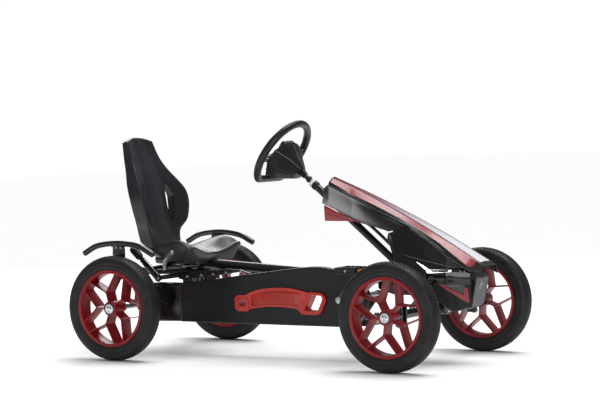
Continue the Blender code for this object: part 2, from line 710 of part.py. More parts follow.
def pedal(name, owner, side):
    x, z = pedal_place(side)
    half_x, half_z, corner = 0.043, 0.014, 0.006
    outline = []
    for sx, sz in ((1, 1), (-1, 1), (-1, -1), (1, -1)):
        corners = [(sx * half_x, sz * (half_z - corner)), (sx * (half_x - corner), sz * half_z)]
        outline += [(x + a, z + b) for a, b in (corners if sx * sz > 0 else corners[::-1])]
    bore = arc((x, z), 0.0067, 0, 324, 10)
    part(f"pedal_{name}", side_plate(outline, side * 0.159, side * 0.255, [bore]), owner, BLACK_PLASTIC)


def belt(front_radius, rear_radius):
    """The outline of a belt round the crank's and the axle's circles."""
    span = math.hypot(CRANK_X - REAR_X, CRANK_Z - AXLE_Z)
    tilt = math.degrees(math.atan2(CRANK_Z - AXLE_Z, CRANK_X - REAR_X))
    lean = math.degrees(math.asin((front_radius - rear_radius) / span))
    front = arc((CRANK_X, CRANK_Z), front_radius, tilt - 90 - lean, tilt + 90 + lean, 14)
    rear = arc((REAR_X, AXLE_Z), rear_radius, tilt + 90 + lean, tilt + 270 - lean, 10)
    return front + rear


def chain(frame):
    front = CHAINRING_TEETH * PITCH / (2 * math.pi) + 0.0027
    rear = SPROCKET_TEETH * PITCH / (2 * math.pi) + 0.0027
    part("chain", side_plate(belt(front + 0.007, rear + 0.007), CHAIN_Y - CHAIN_HALF,
                             CHAIN_Y + CHAIN_HALF, [belt(front, rear)]), frame, SATIN_STEEL)


GRIP_HOLE_FRONT = [(0.0975, 0.1880), (0.1540, 0.1850), (0.1760, 0.2340), (0.1710, 0.2440),
                   (0.1270, 0.2480)]
GRIP_HOLE_REAR = [(-0.1910, 0.1960), (-0.1600, 0.1960), (-0.1620, 0.2210), (-0.1930, 0.2210)]


def guard_outline():
    """The guard from the seam with the hub cover to its round front end over the crank."""
    top = smooth([(SEAM_X + 0.001, 0.2765, 0), (-0.328, 0.2940, 0), (0.010, 0.3400, 0),
                  (0.140, 0.3520, 0), (0.220, 0.3440, 0)], 3)
    front = arc((CRANK_X, CRANK_Z), 0.1045, 72, -84, 12)
    return [(SEAM_X + 0.001, 0.1265), *[(x, z) for x, z in front[::-1]], *[(p.x, p.y) for p in top[::-1]]]


def hub_cover_outline():
    rear = arc((REAR_X, AXLE_Z), 0.0765, 90, 270, 12)
    return [(SEAM_X - 0.001, 0.1265), (SEAM_X - 0.001, 0.2763), *rear]


def tray(outline, face_y, holes):
    """A cover with its rim towards the middle plane, open at the back."""
    wall = inset(outline, GUARD_WALL)
    face = face_y + GUARD_WALL

    def at(loop, y):
        return [Vector((x, y, z)) for x, z in loop]

    rings = [at(outline, face_y), at(outline, GUARD_RIM_Y), at(wall, GUARD_RIM_Y), at(wall, face)]
    return skin(rings, [(at(h, face_y), at(h, face)) for h in holes])


def chain_guard(frame):
    """Outer cover, rear hub cover, back plate, and the grip with its two hand holes."""
    axle_hole = arc((REAR_X, AXLE_Z), 0.0125, 0, 360 - 360 / 12, 12)
    crank_hole = arc((CRANK_X, CRANK_Z), 0.0140, 0, 360 - 360 / 12, 12)
    grips = [GRIP_HOLE_FRONT, GRIP_HOLE_REAR]
    sleeve_holes = [inset(h, -0.0030) for h in grips]
    passage = box((SEAM_X - 0.006, GUARD_FACE_Y + 0.010, 0.136),
                  (SEAM_X + 0.006, GUARD_RIM_Y + 0.01, 0.266))
    part("chain_guard", tray(guard_outline(), GUARD_FACE_Y, [crank_hole, *sleeve_holes]), frame,
         BLACK_PLASTIC, (), [passage])
    part("rear_hub_cover", tray(hub_cover_outline(), HUB_COVER_Y, [axle_hole]), frame, BLACK_PLASTIC, (),
         [passage])
    whole = [*guard_outline()[1:], *hub_cover_outline()[2:]]
    back = side_plate(whole, GUARD_RIM_Y + GAP, GUARD_RIM_Y + GAP + 0.0025,
                      [axle_hole, crank_hole, *sleeve_holes])
    part("chain_guard_back", back, frame, BLACK_PLASTIC)

    front_ring = [(0.0760, 0.1820), (0.0840, 0.1725), (0.1490, 0.1710), (0.1690, 0.1800),
                  (0.1910, 0.2270), (0.1870, 0.2430), (0.1700, 0.2560)]
    band_top = [(0.1270, 0.2590), (0.1120, 0.2560), (0.0500, 0.2680), (-0.0100, 0.2710),
                (-0.0870, 0.2650), (-0.1435, 0.2500)]
    rear_ring = [(-0.1640, 0.2385), (-0.2000, 0.2380), (-0.2130, 0.2260), (-0.2130, 0.1870),
                 (-0.2010, 0.1765), (-0.1560, 0.1765)]
    band_low = [(-0.1450, 0.1870), (-0.0614, 0.1975), (0.0100, 0.1975), (0.0640, 0.1925)]
    plate = side_plate([*front_ring, *band_top, *rear_ring, *band_low], GUARD_FACE_Y - 0.008,
                       GUARD_FACE_Y - GAP, grips)
    sleeves = [side_plate(inset(h, -0.0024), GUARD_FACE_Y - 0.006, GUARD_RIM_Y + 0.006, [h])
               for h in grips]
    part("guard_grip", plate, frame, RED_PLASTIC, sleeves)


# ---------------------------------------------------------------- nose


def nose_top_z(x):
    """The height of the nose's top edge."""
    ahead = x - 0.2094
    return 0.6848 - 0.426 * ahead - 0.19 * ahead**2


def between(x, table):
    """Straight-line values between the (x, value) points of a short table."""
    if x <= table[0][0]:
        return table[0][1]
    for (x0, v0), (x1, v1) in zip(table, table[1:]):
        if x <= x1:
            return v0 + (v1 - v0) * (x - x0) / (x1 - x0)
    return table[-1][1]


TOP_HALF = [(0.20, 0.098), (0.79, 0.050)]
SHOULDER_HALF = [(0.20, 0.120), (0.75, 0.086), (0.80, 0.058)]
SHOULDER_DROP = [(0.20, 0.013), (0.29, 0.022), (0.50, 0.012), (0.58, 0.010), (0.65, 0.014), (0.71, 0.025),
                 (0.76, 0.032), (0.80, 0.022)]
CREASE_HALF = [(0.20, 0.126), (0.68, 0.104), (0.76, 0.088), (0.80, 0.060)]
CREASE_DROP = [(0.20, 0.026), (0.40, 0.031), (0.54, 0.018), (0.60, 0.024), (0.68, 0.042), (0.76, 0.046),
               (0.80, 0.032)]
SIDE_LOW = [(0.178, 0.5930), (0.276, 0.5485), (0.347, 0.5195), (0.451, 0.4885), (0.530, 0.4990)]
LOWER_TOP = [(0.452, 0.4800), (0.505, 0.4830), (0.545, 0.4970), (0.600, 0.4620), (0.680, 0.3900),
             (0.765, 0.3380)]
LOWER_EDGE = [(0.452, 0.4600), (0.476, 0.3760), (0.540, 0.3150), (0.610, 0.2710), (0.690, 0.1980),
              (0.765, 0.2140)]
LOWER_HALF = [(0.452, 0.126), (0.600, 0.122), (0.680, 0.104), (0.760, 0.0645)]
NOSE_TAPER = 0.140  # how much its upper edges come in for each metre towards the driver
NOSE_TAPER_FROM = 0.790


def tapered(x, y, z, share=1.0):
    """A point of the full-width nose, moved in, back and a little down by its share of the taper."""
    pull = NOSE_TAPER * max(0.0, NOSE_TAPER_FROM - x) * share
    return x - 0.576 * pull, y - math.copysign(min(abs(y), pull), y), z - 0.042 * pull


def flare(x, part_way):
    """The side panel's share of the taper: its low edge stays wide at the rear and comes in at the front."""
    return 1.0 - part_way ** 0.8 * (1.0 - between(x, [(0.30, 0.0), (0.50, 1.0)]))


def nose(frame):
    """Thin mouldings: the top cover, and on each side an upper panel, a winglet, a lower panel and a headlight."""
    stations = [0.205, 0.25, 0.29, 0.34, 0.40, 0.46, 0.52, 0.58, 0.64, 0.69, 0.73, 0.76, 0.785, 0.8070]
    columns = []
    for x in stations:
        top = nose_top_z(x)
        crease = (between(x, CREASE_HALF), top - between(x, CREASE_DROP))
        shoulder = (between(x, SHOULDER_HALF), top - between(x, SHOULDER_DROP))
        edge = (between(x, TOP_HALF), top)
        half = [crease, shoulder, edge]
        section = [(-y, z) for y, z in half] + [(0.0, top + 0.003)] + half[::-1]
        columns.append([tapered(x, y, z) for y, z in section])
    shell("nose_top_cover", sheet(columns), frame, RED_PLASTIC, 0.003)

    for name, side in (("right", -1), ("left", 1)):

        def place(surface):
            return surface if side < 0 else mirrored(surface)

        columns = []
        for x in (0.178, 0.215, 0.25, 0.29, 0.34, 0.40, 0.46, 0.52):
            high = nose_top_z(max(x, 0.200)) - between(x, CREASE_DROP) - 0.004 - max(0.0, 0.200 - x) * 0.9
            low = between(x, SIDE_LOW)
            outer = between(x, CREASE_HALF)
            rows = [(0.0, 0.0), (0.25, 0.004), (0.5, 0.006), (0.75, 0.003), (1.0, -0.002)]
            columns.append([tapered(x, -(outer - pull), high + (low - high) * part_way,
                                    flare(x, part_way)) for part_way, pull in rows])
        shell(f"nose_side_panel_{name}", place(sheet(columns[::-1])), frame, GREY_PLASTIC, 0.003)

        columns = []
        for x in (0.1850, 0.2200, 0.2600, 0.3000, 0.3300):
            high = between(x, SIDE_LOW) - 0.0060
            low = min(0.5250, high - 0.002)
            columns.append([(x, -0.1260, high), (x, -0.1240, (high + low) / 2), (x, -0.1220, low)])
        shell(f"nose_winglet_{name}", place(sheet(columns[::-1])), frame, RED_PLASTIC, 0.003)

        columns = []
        for x in (0.454, 0.476, 0.505, 0.540, 0.575, 0.610, 0.650, 0.690, 0.730, 0.7600):
            high, low = between(x, LOWER_TOP), between(x, LOWER_EDGE)
            outer = between(x, LOWER_HALF)
            rows = [(0.0, 0.004), (0.3, 0.0), (0.6, 0.0), (1.0, 0.010)]
            columns.append([tapered(x, -(outer - pull), high + (low - high) * part_way, 1 - part_way)
                            for part_way, pull in rows])
        shell(f"nose_lower_panel_{name}", place(sheet(columns[::-1])), frame, BLACK_PLASTIC, 0.003)

        columns = []
        for x in (0.572, 0.600, 0.640, 0.680, 0.715):
            middle = 0.3865 - 0.23 * (x - 0.571)
            outer = between(x, LOWER_HALF) + 0.0008
            high, low = between(x, LOWER_TOP), between(x, LOWER_EDGE)
            columns.append([tapered(x, -outer, z, (z - low) / (high - low))
                            for z in (middle + 0.006, middle - 0.006)])
        shell(f"headlight_{name}", place(sheet(columns[::-1])), frame, CLEAR_LENS, 0.004, outwards=True)

    outline = [(0.766, 0.3330), (0.776, 0.3180), (0.7550, 0.2160), (0.6900, 0.1930), (0.6430, 0.2220)]
    columns = [[(x, y, z) for x, z in outline] for y in (-0.0500, -0.017, 0.017, 0.0500)]
    shell("nose_bumper", sheet(columns[::-1]), frame, GREY_PLASTIC, 0.003)


# ---------------------------------------------------------------- seat


SEAT_EDGE = [(0.425, -0.612, 0.100), (0.470, -0.618, 0.110), (0.510, -0.6055, 0.142),
             (0.550, -0.6065, 0.158), (0.590, -0.6120, 0.1660),
             (0.630, -0.6245, 0.1625), (0.670, -0.6480, 0.141), (0.710, -0.6755, 0.1160),
             (0.760, -0.7045, 0.0970), (0.822, -0.7290, 0.0860)]
SEAT_MIDDLE = [(0.425, -0.606), (0.470, -0.627), (0.520, -0.638), (0.600, -0.656), (0.660, -0.669),
               (0.720, -0.692), (0.780, -0.722), (0.840, -0.750)]
SEAT_BEND = [(0.0, 0.0), (0.22, -0.03), (0.45, -0.13), (0.64, 0.26), (0.82, 0.62), (1.0, 1.0)]
SEAT_SLOT = [(0.0695, 0.507), (0.0810, 0.507), (0.0966, 0.550), (0.1085, 0.606), (0.0765, 0.664),
             (0.0705, 0.630), (0.0680, 0.570)]


PAN_RIDGE = [(-0.600, 0.405), (-0.550, 0.423), (-0.500, 0.438), (-0.455, 0.447), (-0.420, 0.440),
             (-0.380, 0.418)]
PAN_CENTRE = [(-0.600, 0.402), (-0.420, 0.3915), (-0.400, 0.3875)]
PAN_UNDER = [(-0.600, 0.378), (-0.380, 0.348)]


def pan_front_x(y):
    return -0.400 + 0.020 * min(1.0, abs(y) / 0.170)


def pan_top(x, share):
    """The height of the pan's top surface, where share goes from 0 in the middle to 1 on the thigh ridge."""
    low = between(x, PAN_CENTRE)
    return low + (between(x, PAN_RIDGE) - low) * share


def pan_top_column(y, share):
    return [(x, y, pan_top(x, share)) for x in (-0.600, -0.550, -0.500, -0.455, -0.420, pan_front_x(y))]


def pan_under_column(y, share):
    """A line along the side of the pan, where share goes from 0 at its bottom edge to 1 at the thigh ridge."""
    column = []
    for x in (-0.600, -0.550, -0.500, -0.455, -0.420, pan_front_x(y)):
        low = between(x, PAN_UNDER)
        column.append((x, y, low + (between(x, PAN_RIDGE) - low) * share))
    return column


def seat(owner):
    """A moulded bucket: the back with its forward wings and rear flanges, and the pan with its two thigh ridges."""
    rows = []
    for z, edge_x, half in SEAT_EDGE:
        depth = 0.031 + 0.028 * min(1.0, max(0.0, (0.82 - z) / 0.16))
        middle_x = between(z, SEAT_MIDDLE)
        section = [(edge_x - depth, -half + 0.004, z)]
        for across in (-1.0, -0.82, -0.64, -0.45, -0.22, 0.0, 0.22, 0.45, 0.64, 0.82, 1.0):
            bend = between(abs(across), SEAT_BEND)
            crown = 0.016 * (1 - across**2) if z > 0.80 else 0.0
            section.append((middle_x + (edge_x - middle_x) * bend, half * across, z + crown))
        section.append((edge_x - depth, half - 0.004, z))
        rows.append(section)
    top = [rows[-1][0], *((x - 0.020, 0.97 * y, z + 0.001) for x, y, z in rows[-1][1:-1]), rows[-1][-1]]
    rows.append(top)
    slots = []
    for side in (-1, 1):
        corners = [(side * y, z) for y, z in SEAT_SLOT]
        slots.append(skin([[Vector((x, y, z)) for y, z in corners] for x in (-0.760, -0.560)]))
    shell("seat_back", sheet(rows[::-1]), owner, BLACK_PLASTIC, SEAT_WALL, cut=slots)

    half = [(0.0, 0.0), (0.035, 0.03), (0.070, 0.20), (0.105, 0.50), (0.140, 0.84), (0.168, 1.0)]
    rows = [(-y, share) for y, share in half[:0:-1]] + half
    columns = [pan_under_column(y, share) for y, share in ((-0.115, 0.0), (-0.150, 0.45), (-0.180, 0.88))]
    columns += [pan_top_column(y, share) for y, share in rows]
    columns += [pan_under_column(y, share) for y, share in ((0.180, 0.88), (0.150, 0.45), (0.115, 0.0))]
    strips = [[], []]
    low_edge = [(0.0, 0.3720), (0.025, 0.3700), (0.040, 0.3520), (0.116, 0.3520), (0.149, 0.3835),
                (0.174, 0.4060)]
    for y, low in [(-y, low) for y, low in low_edge[:0:-1]] + low_edge:
        x = pan_front_x(y)
        high = pan_top(x, between(abs(y), half)) - 0.0020
        strips[0].append((x - 0.0048, y, low, high))
        strips[1].append((x - 0.0008, y, low, high))
    rings = []
    for (x0, y, low, high), (x1, _, _, _) in zip(*strips):
        rings.append([Vector((x0, y, low)), Vector((x1, y, low)), Vector((x1, y, high)),
                      Vector((x0, y, high))])
    shell("seat_pan", sheet(columns[::-1]), owner, BLACK_PLASTIC, SEAT_WALL, joined=[skin(rings)])

    saddle = [(-0.560, tube_z(-0.560) + 0.002), (-0.430, tube_z(-0.430) + 0.002), (-0.430, 0.3800)]
    saddle += [(-0.475, 0.3865), (-0.560, 0.3865)]
    strip = [(-0.552, 0.3800), (-0.6150, 0.3812), (-0.6268, 0.4300), (-0.6382, 0.4700), (-0.6492, 0.5190),
             (-0.6434, 0.5200), (-0.6324, 0.4700), (-0.6212, 0.4300), (-0.6105, 0.3868), (-0.552, 0.3860)]
    start = Vector((-0.600, 0, tube_z(-0.600)))
    bore = rod(start, start + 0.2 * Vector((1, 0, TUBE_SLOPE)), TUBE_RADIUS + 0.0010, 16)
    part("seat_slider", side_plate(saddle, -0.026, 0.026), owner, BLACK_PAINT,
         [side_plate(strip, -0.022, 0.022)], [bore])


def seat_lever(owner):
    """A rod under the pan and a cranked flat bar at its end."""
    x, z = SEAT_LEVER_PIVOT
    cross = rod((x, -0.030, z), (x, -0.2085, z), 0.005, 10)
    outline = [(x - 0.008, z - 0.006), (x + 0.006, z - 0.008), (x + 0.012, z + 0.024),
               (x + 0.048, z + 0.062), (x + 0.038, z + 0.073), (x - 0.002, z + 0.032)]
    part("seat_lever", cross, owner, BRIGHT_STEEL, [side_plate(outline, -0.2120, -0.2080)])


def brake_lever(owner):
    pivot = BRAKE_PIVOT
    top = (-0.528, 0.376)
    turn = math.degrees(math.atan2(top[1] - pivot[1], top[0] - pivot[0]))
    outline = arc(top, 0.0120, turn - 90, turn + 90, 5) + arc(pivot, 0.0145, turn + 90, turn + 270, 7)
    hole = arc(pivot, 0.0040, 0, 315, 8)
    part("brake_lever", side_plate(outline, -0.2960, -0.2890, [hole]), owner, BLACK_PAINT)
    along = Vector((top[0] - pivot[0], 0, top[1] - pivot[1])).normalized()
    start = Vector((top[0], -0.2925, top[1])) + along * 0.0125
    profile = [(0.0, 0.012), (0.008, 0.0150), (0.030, 0.0160), (0.046, 0.0165), (0.054, 0.0130),
               (0.058, 0.006)]
    part("brake_grip", turned(profile, start, along, 12), owner, BLACK_GRIP)


# ---------------------------------------------------------------- the kart

for old in list(bpy.data.objects):
    bpy.data.objects.remove(old)

BLACK_PAINT = paint("black_paint", (0.018, 0.018, 0.020), 0.35)
BLACK_PLASTIC = paint("black_plastic", (0.020, 0.020, 0.022), 0.45)
GREY_PLASTIC = paint("grey_plastic", (0.110, 0.112, 0.118), 0.40)
BLACK_GRIP = paint("black_grip", (0.015, 0.015, 0.016), 0.60)
BLACK_RUBBER = paint("black_rubber", (0.022, 0.022, 0.024), 0.75)
RED_RIM = paint("red_rim", (0.45, 0.010, 0.015), 0.30)
RED_PLASTIC = paint("red_plastic", (0.60, 0.030, 0.030), 0.35)
SATIN_STEEL = paint("satin_steel", (0.50, 0.50, 0.52), 0.35, 1.0)
BRIGHT_STEEL = paint("bright_steel", (0.75, 0.76, 0.78), 0.25, 1.0)
WHITE_NYLON = paint("white_nylon", (0.80, 0.80, 0.78), 0.45)
CLEAR_LENS = paint("clear_lens", (0.85, 0.88, 0.92), 0.10)


def build():
    kart = bpy.data.objects.new("kart", None)
    bpy.context.scene.collection.objects.link(kart)
    kart.location = (MID_X, 0, 0)
    kart["place"] = [0.0, 0.0, 0.0]
    main_frame(kart)
    fender_bars(kart)
    column(kart)
    chain(kart)
    chain_guard(kart)
    nose(kart)

    steering(body("steering_body", COLUMN_TOP, kart))
    swing = body("front_axle_body", (FRONT_X, 0, AXLE_Z), kart)
    front_axle(swing)
    for name, side, phase in (("right", -1, 46.0), ("left", 1, 51.0)):
        knuckle = body(f"knuckle_{name}_body", (FRONT_X, side * KINGPIN_Y, AXLE_Z), swing)
        stub_axle(name, knuckle, side)
        tie_rod(name, body(f"tie_rod_{name}_body", (TIE_X, side * KINGPIN_Y, TIE_Z), knuckle), side)
        centre = (FRONT_X, side * FRONT_TRACK / 2, AXLE_Z)
        wheel(f"front_{name}", body(f"front_{name}_wheel_body", centre, knuckle), centre, phase,
              BORE_RADIUS)

    axle = body("rear_axle_body", (REAR_X, 0, AXLE_Z), kart)
    free_wheel = body("rear_left_wheel_body", (REAR_X, REAR_TRACK / 2, AXLE_Z), axle)
    rear_axle(axle, free_wheel, kart)

    crank_body = body("crank_body", (CRANK_X, 0, CRANK_Z), kart)
    crank(crank_body, kart)
    for name, side in (("right", -1), ("left", 1)):
        x, z = pedal_place(side)
        pedal(name, body(f"pedal_{name}_body", (x, side * 0.205, z), crank_body), side)

    seat_body = body("seat_body", (-0.480, 0, tube_z(-0.480)), kart)
    seat(seat_body)
    seat_lever(body("seat_lever_body", (SEAT_LEVER_PIVOT[0], -0.120, SEAT_LEVER_PIVOT[1]), seat_body))
    brake_lever(body("brake_lever_body", (BRAKE_PIVOT[0], -0.2925, BRAKE_PIVOT[1]), kart))


build()
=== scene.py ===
"""A pedal go kart in a plain pale studio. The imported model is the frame, and every piece rides on one of
its bodies.

Metres, in the model's own frame: +X is forward, +Y is to the driver's left and +Z is up. Pieces are drawn
from the middle of the wheelbase, which stands 8.5 mm behind the origin, so each object is placed at MIDDLE.
"""

import json
import math
import random

import bmesh
import bpy
import numpy as np
from mathutils import Matrix, Vector
from mathutils.geometry import tessellate_polygon

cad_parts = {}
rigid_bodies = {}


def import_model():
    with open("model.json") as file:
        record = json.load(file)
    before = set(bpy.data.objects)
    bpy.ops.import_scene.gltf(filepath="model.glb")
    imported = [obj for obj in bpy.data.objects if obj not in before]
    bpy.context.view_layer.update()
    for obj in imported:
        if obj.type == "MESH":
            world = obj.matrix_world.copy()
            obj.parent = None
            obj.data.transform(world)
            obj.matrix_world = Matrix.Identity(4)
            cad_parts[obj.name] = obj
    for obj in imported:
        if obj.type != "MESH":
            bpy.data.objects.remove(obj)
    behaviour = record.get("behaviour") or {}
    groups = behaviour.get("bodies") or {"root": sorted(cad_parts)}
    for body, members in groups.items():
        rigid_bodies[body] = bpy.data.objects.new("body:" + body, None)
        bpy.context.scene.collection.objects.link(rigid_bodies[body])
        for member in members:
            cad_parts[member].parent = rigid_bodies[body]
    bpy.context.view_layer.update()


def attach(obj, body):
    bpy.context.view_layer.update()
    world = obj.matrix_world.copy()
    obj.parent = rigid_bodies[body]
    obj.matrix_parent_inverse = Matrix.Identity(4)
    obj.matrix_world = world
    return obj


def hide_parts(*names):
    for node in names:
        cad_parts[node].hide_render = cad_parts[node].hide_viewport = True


for old in list(bpy.data.objects):
    bpy.data.objects.remove(old)
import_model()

MIDDLE = Vector((-0.0085, 0, 0))
SCENE = bpy.context.scene
TAU = 2 * math.pi
FRONT_X, REAR_X, AXLE_Z = 0.59, -0.59, 0.2
FRONT_Y, REAR_Y = 0.378, 0.3995
KINGPIN_Y = 0.3
CARRIER_Y = 0.205
CROSS_X, CROSS_Z = -0.6, 0.325
CRANK = (0.255, 0.2325)
AXLE = (REAR_X, AXLE_Z)
BRAKE_PIVOT = (-0.459, 0.31)
MAIN_TUBE_RADIUS, TUBE_SLOPE = 0.019, 0.05625
ACROSS, UPWARDS = (0, 1, 0), (0, 0, 1)


# ---------------------------------------------------------------- materials


def material(name, colour, roughness, metallic=0.0, specular=0.5, coat=0.0, coat_roughness=0.1):
    """A Principled material, with its node tree, shader and object coordinates ready for more detail."""
    made = bpy.data.materials.new(name)
    made.use_nodes = True
    tree = made.node_tree
    shader = tree.nodes["Principled BSDF"]
    shader.inputs["Base Color"].default_value = (*colour, 1)
    shader.inputs["Roughness"].default_value = roughness
    shader.inputs["Metallic"].default_value = metallic
    shader.inputs["Specular IOR Level"].default_value = specular
    shader.inputs["Coat Weight"].default_value = coat
    shader.inputs["Coat Roughness"].default_value = coat_roughness
    made.diffuse_color = (*colour, 1)
    return made


def node(tree, kind, sources=(), **values):
    """A node with its settings. in_NAME or in_NUMBER sets an input, and sources are joined to the inputs that
    their names or numbers say.
    """
    made = tree.nodes.new(kind)
    for key, value in values.items():
        if key.startswith("in_"):
            key = key[3:]
            made.inputs[int(key) if key.isdigit() else key.replace("_", " ")].default_value = value
        else:
            setattr(made, key, value)
    for key, source in dict(sources).items():
        tree.links.new(source, made.inputs[key])
    return made


def coordinates(tree):
    return node(tree, "ShaderNodeTexCoord").outputs["Object"]


def ramp(tree, value, stops):
    """A colour ramp over a value, with these (place, colour) stops."""
    made = node(tree, "ShaderNodeValToRGB")
    elements = made.color_ramp.elements
    while len(elements) < len(stops):
        elements.new(0.5)
    for element, (place, colour) in zip(elements, stops):
        element.position = place
        element.color = (*colour, 1) if len(colour) == 3 else colour
    tree.links.new(value, made.inputs["Fac"])
    return made.outputs["Color"]


def noise(tree, scale, detail=3.0, rough=0.5):
    """Noise in object space, as a value."""
    mapping = node(tree, "ShaderNodeMapping", {"Vector": coordinates(tree)})
    source = {"Vector": mapping.outputs["Vector"]}
    return node(tree, "ShaderNodeTexNoise", source, in_Scale=scale, in_Detail=detail,
                in_Roughness=rough).outputs["Fac"]


def grain(made, scale=900.0, strength=0.12, distance=0.0004, wave=0.0, wave_scale=14.0):
    """Fine moulded or cast grain, with a little long-wave unevenness, as bump."""
    tree = made.node_tree
    last = node(tree, "ShaderNodeBump", {"Height": noise(tree, scale, 2.0, 0.6)}, in_Strength=strength,
                in_Distance=distance)
    if wave:
        sources = {"Height": noise(tree, wave_scale, 1.0, 0.4), "Normal": last.outputs["Normal"]}
        last = node(tree, "ShaderNodeBump", sources, in_Strength=wave, in_Distance=0.002)
    tree.links.new(last.outputs["Normal"], tree.nodes["Principled BSDF"].inputs["Normal"])
    return made


def uneven(made, low, high, scale=6.0, roughness=None, rough_scale=30.0):
    """Colour that varies softly between two tones, and roughness that varies between two values."""
    tree = made.node_tree
    shader = tree.nodes["Principled BSDF"]
    tones = ramp(tree, noise(tree, scale, 4.0, 0.55), [(0.35, low), (0.65, high)])
    tree.links.new(tones, shader.inputs["Base Color"])
    if roughness:
        smoothest, roughest = roughness
        source = {"Value": noise(tree, rough_scale, 5.0, 0.6)}
        ends = dict(in_From_Min=0.3, in_From_Max=0.7, in_To_Min=smoothest, in_To_Max=roughest)
        spread = node(tree, "ShaderNodeMapRange", source, **ends)
        tree.links.new(spread.outputs["Result"], shader.inputs["Roughness"])
    return made


# Each finish: name, colour, roughness, other shader values; what grain() takes; and what uneven() takes.
FINISHES = {
    "paint": (
        "black_powder_coat", (0.006, 0.006, 0.007), 0.3, dict(specular=0.4, coat=0.3, coat_roughness=0.18),
        (1400, 0.1, 0.0003), ((0.004, 0.004, 0.005), (0.009, 0.009, 0.01), 9, (0.22, 0.38), 60),
    ),
    "plastic": (
        "black_moulded_plastic", (0.007, 0.007, 0.008), 0.4, dict(specular=0.34),
        (2200, 0.16, 0.00025, 0.05), ((0.005, 0.005, 0.0056), (0.01, 0.0098, 0.011), 5, (0.32, 0.48), 90),
    ),
    "seat": (
        "black_seat_shell", (0.013, 0.012, 0.017), 0.34, dict(specular=0.42),
        (1500, 0.2, 0.0003, 0.04, 9), ((0.01, 0.0095, 0.013), (0.017, 0.016, 0.023), 4, (0.27, 0.42), 70),
    ),
    "gloss": (
        "black_gloss_plastic", (0.004, 0.004, 0.005), 0.14,
              dict(specular=0.45, coat=0.4, coat_roughness=0.05),
        (700, 0.03, 0.0002, 0.03), ((0.003, 0.003, 0.004), (0.006, 0.006, 0.007), 8, (0.1, 0.2), 40),
    ),
    "grip": (
        "soft_black_grip", (0.006, 0.0055, 0.007), 0.36, dict(specular=0.42),
        (1800, 0.24, 0.0003), ((0.004, 0.0038, 0.005), (0.009, 0.008, 0.011), 11, (0.26, 0.44), 80),
    ),
    "rubber": (
        "tyre_rubber", (0.009, 0.009, 0.01), 0.5, dict(specular=0.34),
        (900, 0.28, 0.0005, 0.04, 20), ((0.006, 0.006, 0.007), (0.015, 0.015, 0.016), 16, (0.38, 0.6), 50),
    ),
    "red_rim": (
        "red_glass_filled_nylon", (0.26, 0.005, 0.01), 0.34, dict(specular=0.45),
        (1300, 0.14, 0.0003), ((0.2, 0.003, 0.007), (0.29, 0.006, 0.012), 12, (0.28, 0.44), 60),
    ),
    "red": (
        "red_gloss_insert", (0.5, 0.02, 0.012), 0.24, dict(specular=0.5),
        (1200, 0.06, 0.0002), ((0.44, 0.014, 0.009), (0.55, 0.026, 0.016), 10, (0.18, 0.32), 50),
    ),
    "steel": (
        "zinc_plated_steel", (0.4, 0.4, 0.42), 0.28, dict(metallic=1.0),
        (1600, 0.12, 0.0002), ((0.3, 0.3, 0.31), (0.52, 0.52, 0.54), 40, (0.2, 0.4), 120),
    ),
    "bright": (
        "bright_zinc", (0.72, 0.73, 0.76), 0.24, dict(metallic=1.0),
        (1300, 0.1, 0.0002), ((0.6, 0.61, 0.63), (0.82, 0.83, 0.86), 50, (0.18, 0.34), 140),
    ),
    "nylon": (
        "natural_nylon", (0.82, 0.82, 0.8), 0.4, {},
        (1500, 0.1, 0.0002), ((0.76, 0.76, 0.73), (0.86, 0.86, 0.84), 60, (0.34, 0.48), 80),
    ),
    "chain": (
        "oiled_chain_steel", (0.22, 0.21, 0.2), 0.34, dict(metallic=1.0),
        (1500, 0.15, 0.0002), ((0.12, 0.11, 0.1), (0.32, 0.31, 0.3), 90, (0.26, 0.5), 120),
    ),
    # Grey plastic for the side spokes and other grey parts; the same grey also paints highlight lines along
    # the steering cover's creases, the nose's fold and its glint.
    "spoke": (
        "grey_plastic_and_painted_highlights", (0.2, 0.2, 0.21), 0.38, dict(specular=0.5),
        (1500, 0.12, 0.0003), ((0.16, 0.16, 0.17), (0.24, 0.24, 0.25), 14, (0.3, 0.46), 70),
    ),
    "amber": (
        "amber_reflector", (0.75, 0.22, 0.02), 0.14, dict(specular=0.6),
        (500, 0.25, 0.0005), ((0.62, 0.16, 0.01), (0.85, 0.3, 0.03), 220, (0.1, 0.2), 200),
    ),
}


def make_materials():
    """Every finish on the kart, by name."""
    kit = {}
    for key, (name, colour, roughness, more, grains, tones) in FINISHES.items():
        kit[key] = uneven(grain(material(name, colour, roughness, **more), *grains), *tones)
    return kit


M = make_materials()


# ---------------------------------------------------------------- shapes


def finish(obj, body, *materials, replaces=(), angle=35, slot=None):
    for made in materials:
        obj.data.materials.append(made)
    if obj.type == "MESH":
        obj.data.shade_smooth()
        obj.data.set_sharp_from_angle(angle=math.radians(angle))
    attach(obj, body)
    if replaces:
        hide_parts(*replaces)
    return obj


def mesh_object(name, points, faces, spots=None, fix=True):
    """A mesh object placed at MIDDLE. spots gives each face's material slot."""
    mesh = bpy.data.meshes.new(name)
    mesh.from_pydata([tuple(p) for p in points], [], [tuple(f) for f in faces])
    if spots is not None:
        mesh.polygons.foreach_set("material_index", list(spots))
    if fix:
        work = bmesh.new()
        work.from_mesh(mesh)
        bmesh.ops.remove_doubles(work, verts=work.verts, dist=1e-6)
        bmesh.ops.recalc_face_normals(work, faces=work.faces)
        work.to_mesh(mesh)
        work.free()
    mesh.update()
    obj = bpy.data.objects.new(name, mesh)
    obj.location = MIDDLE
    SCENE.collection.objects.link(obj)
    return obj


